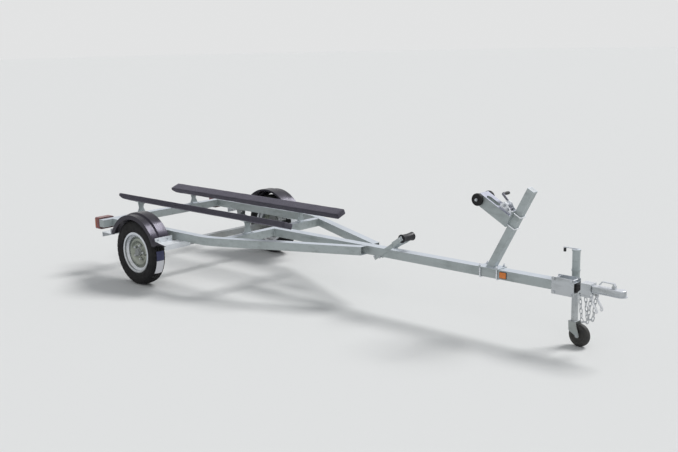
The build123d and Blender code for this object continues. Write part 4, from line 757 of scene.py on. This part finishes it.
# Tail lamps
LAMP_Y, LAMP_Z = 0.637, 0.41625
LAMP_WIDTH, LAMP_HEIGHT, LAMP_DEPTH, LAMP_BASE = 0.146, 0.1, 0.078, 0.014
LAMP_OUTLINE = rounded_rectangle(LAMP_WIDTH, LAMP_HEIGHT, 0.01)
LENS_EDGE = ((0.008, 0), (0.003, 0.0016), (0.0008, 0.005), (0, 0.01))
LENS_GAP = 0.001
MARKER_BACK, MARKER_THICK = 0.0625, 0.003
MARKER_OUTLINE = rounded_rectangle(0.01, 0.07, 0.004)
SCREW = ((0, 0.0016), (0.0022, 0.0014), (0.0036, 0), (0, 0))
SCREW_Y, SCREW_SINK = 0.03, 0.0018


def lamp_place(sign):
    return placed((TAIL_X, sign * LAMP_Y, LAMP_Z), (-1, 0, 0), (0, 1, 0))


def make_lens(bm, sign):
    """The lamp's lens from its base backwards, with a domed rim."""
    m = lamp_place(sign)
    rings = []
    for depth, shrink in ((LAMP_BASE, 0), *((LAMP_DEPTH - back, shrink) for back, shrink in LENS_EDGE)):
        width = LAMP_WIDTH - LENS_GAP - 2 * shrink
        outline = rounded_rectangle(width, LAMP_HEIGHT - 2 * shrink, 0.008)
        rings.append([bm.verts.new(m @ Vector((x, y, depth))) for x, y in outline])
    skin(bm, rings)


def make_screws(bm, sign):
    x = TAIL_X - LAMP_DEPTH + SCREW_SINK
    for dy in (-SCREW_Y, SCREW_Y):
        lathe(bm, SCREW, placed((x, sign * LAMP_Y + dy, LAMP_Z), (-1, 0, 0)), SMALL_ROUND)


for side, sign in SIDES:
    plate(
        "lamp_base_" + side, LAMP_OUTLINE, lamp_place(sign), LAMP_BASE, 0.0015,
        LAMP_DARK, "trailer", "lamp_red", ["tail_lamp_" + side],
    )
    new_piece("lamp_lens_" + side, lambda bm: make_lens(bm, sign), LAMP_RED, "trailer", "lamp_red")
    # The amber side marker is set in the lens's outer flank
    flank = sign * (LAMP_Y + LAMP_WIDTH / 2 - MARKER_THICK)
    marker_at = placed((TAIL_X - MARKER_BACK, flank, LAMP_Z), (0, sign, 0), (1, 0, 0))
    plate(
        "lamp_side_marker_" + side, MARKER_OUTLINE, marker_at, MARKER_THICK, 0.001,
        LAMP_AMBER, "trailer", "lamp_red",
    )
    new_piece("lamp_screws_" + side, lambda bm: make_screws(bm, sign), ZINC, "trailer", "zinc_plate")

# Side reflectors
REFLECTOR_X = AXLE_X + 3.06
REFLECTOR_RIM = rounded_rectangle(0.0566, 0.0456, 0.004)
REFLECTOR_LENS = rounded_rectangle(0.0515, 0.0405, 0.003)
REFLECTOR_THICK = 0.0042
for side, sign in SIDES:
    face = placed((REFLECTOR_X, sign * TONGUE_HALF, FRAME_MID), (0, sign, 0), (1, 0, 0))
    plate(
        "reflector_rim_" + side, REFLECTOR_RIM, face, REFLECTOR_THICK, 0.0008,
        PLASTIC, "trailer", "reflector_amber", ["side_reflectors"] if sign > 0 else [],
    )
    plate(
        "reflector_lens_" + side, REFLECTOR_LENS, along_z(face, REFLECTOR_THICK), 0.0017, 0.0005,
        AMBER, "trailer", "reflector_amber",
    )

# Bolts and nuts of the frame
FOOT_BOLT_X, FOOT_BOLT_Y = 0.067, 0.0446
JACK_BOLT_X, JACK_BOLT_Y, JACK_BOLT_Z = 0.063, TONGUE_HALF + 0.005, 0.044
FENDER_BOLT_X, FENDER_BOLT_Y, FENDER_BOLT_Z = 0.308, 0.045, FRAME_BOTTOM + 0.022
ARM_BOLT_XS, ARM_BOLT_Z = (-0.395, -0.365, 0.365, 0.395), FRAME_BOTTOM - 0.005
HANGER_NUTS = ((-1.25, 0.3654), (-1.8, 0.3314))
CLAMP_X, CLAMP_Y, CLAMP_Z = 0.0319, 0.02875, 0.2346
BRACKET_XS = (TAIL_X + TUBE / 2, CROSS_X + TUBE / 2)
SEAT_BOLT_X, SEAT_BOLT_Y, SEAT_BOLT_Z = 0.019, 0.30706, 0.5436
BUNK_FOOT_X, BUNK_FOOT_Y, BUNK_FOOT_Z = 0.0155, 0.028, FRAME_TOP + 0.005
COUPLER_BOLT_X, COUPLER_BOLT_Y, COUPLER_BOLT_Z = 3.696, 0.036, 0.44
KEEL_BOLT_XS, KEEL_BOLT_Y, KEEL_BOLT_Z = (1.9377, 1.9857), 0.0441, 0.3865
fasteners("foot_nuts", [
    ((POST_X + a * FOOT_BOLT_X, b * FOOT_BOLT_Y, FOOT_TOP), (0, 0, 1), 0.0085)
    for a in BOTH for b in BOTH])
fasteners("jack_plate_bolts", [
    ((JACK_X + a * JACK_BOLT_X, s * JACK_BOLT_Y, FRAME_MID + b * JACK_BOLT_Z), (0, s, 0), 0.01)
    for a in BOTH for b in BOTH for s in BOTH])
fasteners("fender_bolts", [
    ((AXLE_X + a * FENDER_BOLT_X, s * (WHEEL_Y + b * FENDER_BOLT_Y), FENDER_BOLT_Z), (a, 0, 0), 0.007)
    for a in BOTH for b in BOTH for s in BOTH])
fasteners("arm_bolts", [
    ((AXLE_X + x, s * SPRING_Y, ARM_BOLT_Z), (0, 0, -1), 0.0085, 0.004)
    for x in ARM_BOLT_XS for s in BOTH])
fasteners("hanger_nuts", [
    ((x, s * (SPRING_Y + b * CLAMP_Y), z), (0, s * b, 0), 0.0088, 0.003)
    for x, z in HANGER_NUTS for b in BOTH for s in BOTH])
fasteners("bunk_seat_bolts", [
    ((x + a * SEAT_BOLT_X, s * SEAT_BOLT_Y, SEAT_BOLT_Z), -bunk_axes(s)[1], 0.006)
    for x in BRACKET_XS for a in BOTH for s in BOTH])
fasteners("bunk_foot_bolts", [
    ((x + a * BUNK_FOOT_X, s * (BUNK_Y - a * BUNK_FOOT_Y), BUNK_FOOT_Z), (0, 0, 1), 0.007)
    for x in BRACKET_XS for a in BOTH for s in BOTH])
fasteners("coupler_bolts", [
    ((AXLE_X + COUPLER_BOLT_X, s * COUPLER_BOLT_Y, COUPLER_BOLT_Z), (0, s, 0), 0.0085, 0.002)
    for s in BOTH])
fasteners("keel_bolts", [
    ((AXLE_X + x, s * KEEL_BOLT_Y, KEEL_BOLT_Z), (0, s, 0), 0.0078, 0.003)
    for x in KEEL_BOLT_XS for s in BOTH])
fasteners("clamp_nuts", [
    ((AXLE_X + a * CLAMP_X, s * (SPRING_Y + b * CLAMP_Y), CLAMP_Z), (0, 0, -1), 0.008)
    for a in BOTH for b in BOTH for s in BOTH])

# Keel roller and bow wheels, with profiles as (radius, distance along the shaft)
KEEL = Vector((AXLE_X + 2.208, 0, 0.558))
LEAN = math.radians(28.9)
POST_DIR = Vector((math.sin(LEAN), 0, math.cos(LEAN)))
POST_BACK = Vector((-math.cos(LEAN), 0, math.sin(LEAN)))
POST_ROOT = Vector((POST_X, 0, FOOT_TOP))
ARM_ROOT = POST_ROOT + POST_DIR * 0.362 + POST_BACK * POST_HALF
BOW = ARM_ROOT + POST_BACK * 0.262
BOW_INNER = 0.053
KEEL_HALF = (
    (0.00825, 0.0633), (0.02, 0.0633), (0.02, 0.061), (0.0318, 0.061), (0.0318, 0.056), (0.03, 0.05),
    (0.0277, 0.03),
)
KEEL_PROFILE = rounded(mirrored(KEEL_HALF, ((0.0268, 0),)), 0.0025)
BOW_PROFILE = rounded([
    (0.0068, 0.0258), (0.015, 0.0258), (0.016, 0.0225), (0.031, 0.0225), (0.0325, 0.0258), (0.039, 0.0258),
    (0.0423, 0.02), (0.0423, 0.006), (0.039, 0.0002), (0.0325, 0.0002), (0.031, 0.0035), (0.016, 0.0035),
    (0.015, 0.0002), (0.0068, 0.0002)], 0.0022)
ARM_BOLT_UPS, ARM_BOLT_Y = (-0.024, 0.07), 0.0319


def sideways(point, y):
    return point + Vector((0, y, 0))


def make_bow_wheels(bm):
    for s in (1, -1):
        lathe(bm, BOW_PROFILE, placed(sideways(BOW, s * BOW_INNER), (0, s, 0)), BOW_ROUND, True)


turned(
    "keel_roller_rubber", KEEL_PROFILE, placed(KEEL, (0, 1, 0)), ROLLER_ROUND,
    ROLLER, "keel_roller", "black_rubber", ["keel_roller"], closed=True,
)
new_piece("bow_wheel_pair", make_bow_wheels, RUBBER, "bow_wheels", "black_rubber", ["bow_wheels"])
fasteners("roller_end_nuts", [
    (sideways(shaft, s * out), (0, s, 0), size)
    for shaft, out, size in ((BOW, 0.08, 0.0098), (KEEL, 0.0746, 0.011)) for s in (1, -1)])
fasteners("arm_nuts", [
    (sideways(ARM_ROOT + POST_DIR * up + POST_BACK * 0.005, b * ARM_BOLT_Y), POST_BACK, 0.008)
    for up in ARM_BOLT_UPS for b in BOTH])

# Safety chains with round wire
CHAIN_X, CHAIN_Y, CHAIN_TOP = AXLE_X + 3.668, 0.0335, 0.3903
CHAIN_LINKS, CHAIN_STEP, CHAIN_BEND = 13, 0.0294, 0.022
CHAIN_LEAN = math.radians(6)
CHAIN_ARC = CHAIN_BEND * (math.pi - 2 * CHAIN_LEAN)
CHAIN_LEG = (CHAIN_LINKS * CHAIN_STEP - CHAIN_ARC) / 2
CHAIN_HALF = CHAIN_LEG * math.sin(CHAIN_LEAN) + CHAIN_BEND * math.cos(CHAIN_LEAN)
LINK_SHIFT = 0.0052
WIRE, LINK_HALF, LINK_SIDE, LINK_POINTS = 0.0029, 0.018, 0.0085, 24


def chain_joint(run):
    """The place at a distance along the hanging line: a leg, a bend and a leg."""
    rest = CHAIN_LINKS * CHAIN_STEP - run
    for end, length in ((-1, run), (1, rest)):
        if length < CHAIN_LEG:
            down, in_by = polar(length, CHAIN_LEAN)
            return Vector((CHAIN_X + end * (CHAIN_HALF - in_by), 0, CHAIN_TOP - down))
    turn = CHAIN_LEAN + (run - CHAIN_LEG) / CHAIN_BEND
    across, down = polar(CHAIN_BEND, turn)
    bend_z = CHAIN_TOP - CHAIN_LEG * math.cos(CHAIN_LEAN) + CHAIN_BEND * math.sin(CHAIN_LEAN)
    return Vector((CHAIN_X - across, 0, bend_z - down))


def make_chain(bm, sign):
    straight = LINK_HALF - LINK_SIDE
    for number in range(CHAIN_LINKS):
        shift = LINK_SHIFT if number % 2 else -LINK_SHIFT
        start = chain_joint(number * CHAIN_STEP + shift)
        end = chain_joint((number + 1) * CHAIN_STEP - shift)
        along = (end - start).normalized()
        flat = along.cross(Vector((0, 1, 0))).normalized() if number % 2 else Vector((0, 1, 0))
        centre = (start + end) / 2 + Vector((0, sign * CHAIN_Y, 0))
        points = []
        for z, x in circle(LINK_SIDE, LINK_POINTS):
            reach = x + math.copysign(straight, x) if abs(x) > 1e-6 else 0
            points.append(centre + along * reach + flat * z)
        tube_along(bm, points, WIRE, 10, True)


for side, sign in SIDES:
    new_piece(
        "chain_links_" + side, lambda bm: make_chain(bm, sign),
        ZINC, "trailer", "zinc_plate", ["safety_chain_" + side],
    )

# Caster wheel
YAW = math.radians(-6)
CASTER_TRAIL = 0.042
CASTER_AT = Vector((JACK_X + CASTER_TRAIL * math.cos(YAW), JACK_Y + CASTER_TRAIL * math.sin(YAW), 0.076))
CASTER_AXIS = Vector((-math.sin(YAW), math.cos(YAW), 0))
CASTER_HALF = (
    (0.00625, 0.0218), (0.0145, 0.0218), (0.0155, 0.015), (0.044, 0.0148), (0.048, 0.0218), (0.064, 0.0218),
    (0.074, 0.015), (0.0759, 0.006),
)
CASTER_PROFILE = rounded(mirrored(CASTER_HALF), 0.004)
turned(
    "caster_tyre", CASTER_PROFILE, placed(CASTER_AT, CASTER_AXIS), ROLLER_ROUND,
    CASTER, "caster_wheel", "caster_black", ["jack_wheel"], closed=True,
)
fasteners("caster_nuts", [
    (CASTER_AT + CASTER_AXIS * s * 0.0316, CASTER_AXIS * s, 0.009) for s in (1, -1)], "caster_fork")

# Winch drum, gear and pinion
WINCH = ARM_ROOT + POST_BACK * 0.02 + POST_DIR * 0.04
DRUM_AT = WINCH + POST_BACK * 0.066 + POST_DIR * 0.03
PINION_AT = WINCH + POST_BACK * 0.032 + POST_DIR * 0.021
DRUM_PROFILE = rounded([
    (0, 0.0338), (0.007, 0.0338), (0.007, 0.0245), (0.013, 0.0244), (0.013, -0.0214), (0.0218, -0.0215),
    (0.0218, -0.0243), (0.007, -0.0245), (0.007, -0.0338), (0, -0.0338)], 0.0008, 3)
FLANGE = ((0.0128, 0.0158), (0.0218, 0.0158), (0.0218, 0.0184), (0.0128, 0.0184))
GRIP_AT = placed(sideways(WINCH + POST_BACK * 0.14484 + POST_DIR * 0.0555, 0.042), (0, 1, 0))
GRIP_PROFILE = rounded([
    (0, 0.0642), (0.008, 0.0642), (0.0113, 0.06), (0.0116, 0.048), (0.0113, 0.032), (0.0116, 0.016),
    (0.0113, 0.003), (0.0095, -0.0002), (0, -0.0002)], 0.002)
TOOTH = 0.0022


def gear_outline(radius, count):
    """A toothed outline with straight flanks."""
    root = radius - TOOTH
    steps = ((0, root), (0.3, root), (0.45, radius), (0.85, radius))
    return [polar(r, 2 * math.pi * (k + share) / count) for k in range(count) for share, r in steps]


def make_drum(bm):
    side = placed(DRUM_AT, (0, 1, 0), POST_BACK)
    lathe(bm, DRUM_PROFILE, side, HUB_ROUND)
    lathe(bm, FLANGE, side, HUB_ROUND, True)
    prism(bm, GEAR, along_z(side, 0.0185), 0.0058, 0.0004)


GEAR, PINION = gear_outline(0.0249, 34), gear_outline(0.0112, 13)
PINION_SIDE = along_z(placed(PINION_AT, (0, 1, 0), POST_BACK), 0.018)
new_piece("winch_drum_and_gear", make_drum, ZINC_BRIGHT_PAINTED_LIGHT, "trailer", "zinc_plate", ["winch_drum"])
plate("winch_pinion", PINION, PINION_SIDE, 0.007, 0.0004, ZINC, "trailer", "zinc_plate")
fasteners("winch_nuts", [
    (sideways(place, s * 0.0338), (0, s, 0), 0.009)
    for place, s in ((DRUM_AT, -1), (DRUM_AT, 1), (PINION_AT, -1))])
fasteners("winch_base_bolts", [
    (WINCH + POST_BACK * along + POST_DIR * 0.004, POST_DIR, 0.0075) for along in (0.014, 0.086)])
turned("winch_grip", GRIP_PROFILE, GRIP_AT, GRIP_ROUND, PLASTIC, "trailer", "zinc_plate")

# U-bolts with rounded bends
U_ROD, BEND_STEPS = 0.0049, 6


def bent(points, radius):
    """A line of 3-D points whose inner corners are rounded."""
    points = [Vector(p) for p in points]
    out = [points[0]]
    for before, corner, after in zip(points, points[1:], points[2:]):
        start = corner + (before - corner).normalized() * radius
        end = corner + (after - corner).normalized() * radius
        out += curve(start, corner, end, BEND_STEPS)
    return out + [points[-1]]


def make_u_bolt(bm, end, middle, y, radius):
    ways = ((end, -1), (middle, -1), (middle, 1), (end, 1))
    corners = [sideways(Vector(p), s * y) for p, s in ways]
    tube_along(bm, bent(corners, radius), U_ROD, 12)


def make_u_bolts(bm):
    for s in BOTH:
        x = POST_X + s * FOOT_BOLT_X
        make_u_bolt(bm, (x, 0, 0.4809), (x, 0, 0.385), FOOT_BOLT_Y, 0.012)
    for up in ARM_BOLT_UPS:
        level = ARM_ROOT + POST_DIR * up
        make_u_bolt(bm, level + POST_BACK * 0.0149, level - POST_BACK * 0.0573, ARM_BOLT_Y, 0.01)


new_piece("u_bolts_round", make_u_bolts, ZINC_BRIGHT_PAINTED_LIGHT, "trailer", "zinc_plate", ["post_u_bolts"])

# Weld beads
RAIL_SIDES = (0.5565, 0.62)
RAIL_MEET_X, RAIL_MEET_Y, RAIL_SLOPE = 0.32, 0.0351, 0.44105
RAIL_END_XS, RAIL_END_Y, RAIL_END_GAP = (0.3125, 0.3205), 0.0388, 0.002
POST_FOOT_X, POST_BEAD = 0.029, 0.0034
BRACKET_HALF, BRACKET_SIDE, BRACKET_BEAD = 0.041, 0.0025, 0.0024
RIPPLE_STEP = 0.0022


def weld(bm, start, end, radius=0.003):
    """A low row of overlapping weld ripples from start to end."""
    start, end = Vector(start), Vector(end)
    count = max(4, int((end - start).length / RIPPLE_STEP))
    points = [start + (end - start) * k / count for k in range(count + 1)]
    ripples = [1 + 0.16 * math.sin(2.2 * k) + 0.05 * math.sin(0.7 * k) for k in range(count + 1)]
    tube_along(bm, points, [radius * ripple for ripple in ripples], 8)


def weld_up(bm, x, y, low=FRAME_BOTTOM, high=FRAME_TOP):
    weld(bm, (x, y, low), (x, y, high))


def rail_inner(x):
    return RAIL_MEET_Y + (RAIL_MEET_X - x) * RAIL_SLOPE


def make_welds(bm, s):
    rear, front, back = TAIL_X + TUBE, CROSS_X + TUBE, CROSS_X
    for y in RAIL_SIDES:
        weld_up(bm, rear, s * y)
    for x in (back, front):
        weld_up(bm, x, s * rail_inner(x))
    for z in (FRAME_BOTTOM, FRAME_TOP):
        weld(bm, (rear, s * RAIL_SIDES[0], z), (rear, s * RAIL_SIDES[1], z))
        weld(bm, (back, s * rail_inner(back), z), (front, s * rail_inner(front), z))
        weld(bm, (front, 0, z), (front, s * TONGUE_HALF, z))
    weld_up(bm, front, s * TONGUE_HALF)
    for x in RAIL_END_XS:
        weld_up(bm, x, s * RAIL_END_Y, FRAME_BOTTOM + RAIL_END_GAP, FRAME_TOP - RAIL_END_GAP)
    y, behind, ahead = s * POST_HALF, POST_X - POST_FOOT_X, POST_X + POST_FOOT_X
    for x in (behind, ahead):
        weld(bm, (x, 0, FOOT_TOP), (x, y, FOOT_TOP), POST_BEAD)
    weld(bm, (behind, y, FOOT_TOP), (ahead, y, FOOT_TOP), POST_BEAD)
    for x in BRACKET_XS:
        for a in BOTH:
            ys = [s * (BUNK_Y + b * BRACKET_HALF) for b in BOTH]
            weld(bm, *((x + a * BRACKET_SIDE, y, BUNK_FOOT_Z) for y in ys), BRACKET_BEAD)


for side, sign in SIDES:
    new_piece("weld_beads_" + side, lambda bm: make_welds(bm, sign), GALVANISED, "trailer", "galvanised")

POST_END = placed(POST_ROOT + POST_DIR * 0.6275, POST_DIR, POST_BACK)
plate(
    "post_cap", rounded_rectangle(0.0446, 0.0446, 0.002), POST_END, 0.003, 0.0006,
    GALVANISED_PAINTED_SHADE, "trailer", "galvanised",
)

# Chain hooks: distance in front of the axle, height and rod radius
HOOK_LINE = (
    (3.708, 0.396, 0.0034), (3.712, 0.388, 0.0036), (3.715, 0.378, 0.0042), (3.7175, 0.366, 0.0056),
    (3.72, 0.356, 0.0072), (3.727, 0.343, 0.0082), (3.735, 0.331, 0.0082), (3.743, 0.32, 0.0074),
    (3.75, 0.31, 0.0064), (3.753, 0.301, 0.0056), (3.75, 0.294, 0.005), (3.743, 0.293, 0.0044),
    (3.738, 0.299, 0.0038), (3.737, 0.307, 0.003),
)
SHACKLE_LINE = [(3.714 + 0.0085 * c, 0.386 + 0.011 * s) for c, s in circle(1, 24)]
CLIP_LINE = ((3.7215, 0.354), (3.733, 0.33), (3.7385, 0.308))


def make_hook(bm, s):
    def rod(line, radius, sides, closed=False):
        points = [Vector((AXLE_X + x, s * CHAIN_Y, z)) for x, z in line]
        tube_along(bm, points, radius, sides, closed)

    rod([(x, z) for x, z, _ in HOOK_LINE], [r for _, _, r in HOOK_LINE], 14)
    rod(SHACKLE_LINE, 0.0028, 10, True)
    rod(CLIP_LINE, 0.0018, 8)


for side, sign in SIDES:
    new_piece("chain_hook_" + side, lambda bm: make_hook(bm, sign), ZINC_BRIGHT_PAINTED_LIGHT, "trailer", "zinc_plate")

# Blank patch on the right tyre's tread
PATCH_HALF, PATCH_LIFTS = 0.036, (0.00035, -0.001)
PATCH_ROWS, PATCH_COLUMNS = 12, 24
PATCHES = (("tread_patch", -8, -33, LABEL), ("tread_patch_band", 9, -7.6, LABEL_BAND))


def border(grid):
    """The verts round a grid's edge, in order."""
    down = [row[-1] for row in grid[1:]]
    return grid[0] + down + list(reversed(grid[-1][:-1])) + [row[0] for row in reversed(grid[1:-1])]


def make_patch(bm, low, high):
    """A thin sheet on the tread, between two angles in degrees."""
    matrix = wheel_place(-1)
    angles = [math.radians(low + (high - low) * k / PATCH_COLUMNS) for k in range(PATCH_COLUMNS + 1)]
    layers = []
    for lift in PATCH_LIFTS:
        rows = []
        for j in range(PATCH_ROWS + 1):
            y = PATCH_HALF * (j / (PATCH_ROWS / 2) - 1)
            rows.append([bm.verts.new(matrix @ Vector((*polar(crown(y) + lift, a), y))) for a in angles])
        layers.append(rows)
    for rows, flip in zip(layers, (False, True)):
        for a, b in zip(rows, rows[1:]):
            for k in range(PATCH_COLUMNS):
                quad = (a[k], a[k + 1], b[k + 1], b[k])
                bm.faces.new(tuple(reversed(quad)) if flip else quad)
    top, under = border(layers[0]), border(layers[1])
    for k in range(len(top)):
        n = (k + 1) % len(top)
        bm.faces.new((top[k], under[k], under[n], top[n]))


for name, low, high, material in PATCHES:
    new_piece(name, lambda bm: make_patch(bm, low, high), material, "wheel_right", "tyre")

# Small parts of the jack
PIN_AT = placed((JACK_X - 0.02, 0.0559, FRAME_MID + 0.033), (0, 1, 0))
PIN_SHANK = rounded([(0, 0.016), (0.0058, 0.016), (0.0058, 0), (0, 0)], 0.0012, 3)
PIN_HEAD = rounded([
    (0, 0.026), (0.0085, 0.026), (0.0085, 0.019), (0.003, 0.0185), (0.003, 0.015), (0, 0.015)], 0.001, 3)
GREASE_AT = placed((JACK_X, JACK_Y + 0.025, 0.56), (0, 1, 0))
GREASE_PROFILE = rounded([
    (0, 0.011), (0.0022, 0.0105), (0.003, 0.008), (0.002, 0.006), (0.0045, 0.0045), (0.0045, 0),
    (0, 0)], 0.0006, 2)
KNOB_AT = placed((JACK_X - 0.084, JACK_Y, 0.6106), (0, 0, 1))
KNOB_PROFILE = rounded([
    (0, 0), (0.007, 0), (0.0094, 0.003), (0.0092, 0.015), (0.0094, 0.025), (0.0088, 0.0278),
    (0, 0.0278)], 0.0018)
new_piece(
    "jack_lock_pin",
    lambda bm: [lathe(bm, profile, PIN_AT, NUT_ROUND) for profile in (PIN_SHANK, PIN_HEAD)],
    ZINC, "jack", "zinc_plate",
)
turned("jack_grease_fitting", GREASE_PROFILE, GREASE_AT, SMALL_ROUND, ZINC, "jack", "zinc_plate")
turned("jack_knob", KNOB_PROFILE, KNOB_AT, GRIP_ROUND, PLASTIC, "jack", "zinc_plate")

# Floor
FLOOR_RADIUS, FLOOR_DROP = 60, 0.0005
floor_shader = Shader("floor_pale")
floor_shader.set(Base_Color=(0.8, 0.8, 0.79), Roughness=0.9, Specular_IOR_Level=0.1)
floor_mesh = bpy.data.meshes.new("floor")
floor_bm = bmesh.new()
bmesh.ops.create_circle(floor_bm, cap_ends=True, radius=FLOOR_RADIUS, segments=96)
floor_bm.to_mesh(floor_mesh)
floor_bm.free()
floor = new_object("floor", floor_mesh)
floor.location.z = -FLOOR_DROP
floor_mesh.materials.append(floor_shader.material)

# World: a soft light, and a pale backdrop for the camera and for clear reflections
LIGHT_COLOUR, LIGHT_STRENGTH = (0.92, 0.96, 1, 1), 0.39
BACKDROP_COLOUR = (0.765, 0.77, 0.772, 1)
world = bpy.data.worlds.new("studio")
bpy.context.scene.world = world
world.use_nodes = True
tree = world.node_tree
background = tree.nodes["Background"]
background.inputs["Color"].default_value = LIGHT_COLOUR
background.inputs["Strength"].default_value = LIGHT_STRENGTH
shown = tree.nodes.new("ShaderNodeBackground")
shown.inputs["Color"].default_value = BACKDROP_COLOUR
path = tree.nodes.new("ShaderNodeLightPath")
direct = tree.nodes.new("ShaderNodeMath")
direct.operation = "MAXIMUM"
seen = tree.nodes.new("ShaderNodeMath")
seen.operation = "MAXIMUM"
choose = tree.nodes.new("ShaderNodeMixShader")
for start, end in (
    (path.outputs["Is Camera Ray"], direct.inputs[0]),
    (path.outputs["Is Glossy Ray"], direct.inputs[1]),
    (direct.outputs[0], seen.inputs[0]),
    (path.outputs["Is Transmission Ray"], seen.inputs[1]),
    (seen.outputs[0], choose.inputs["Fac"]),
    (background.outputs[0], choose.inputs[1]),
    (shown.outputs[0], choose.inputs[2]),
    (choose.outputs[0], tree.nodes["World Output"].inputs["Surface"]),
):
    tree.links.new(start, end)

make_sun("back_sun", (0.2, 0.58, 0.79), 2.05, 24)
make_sun("front_sun", (0.45, -0.7, 0.62), 0.25, 40)
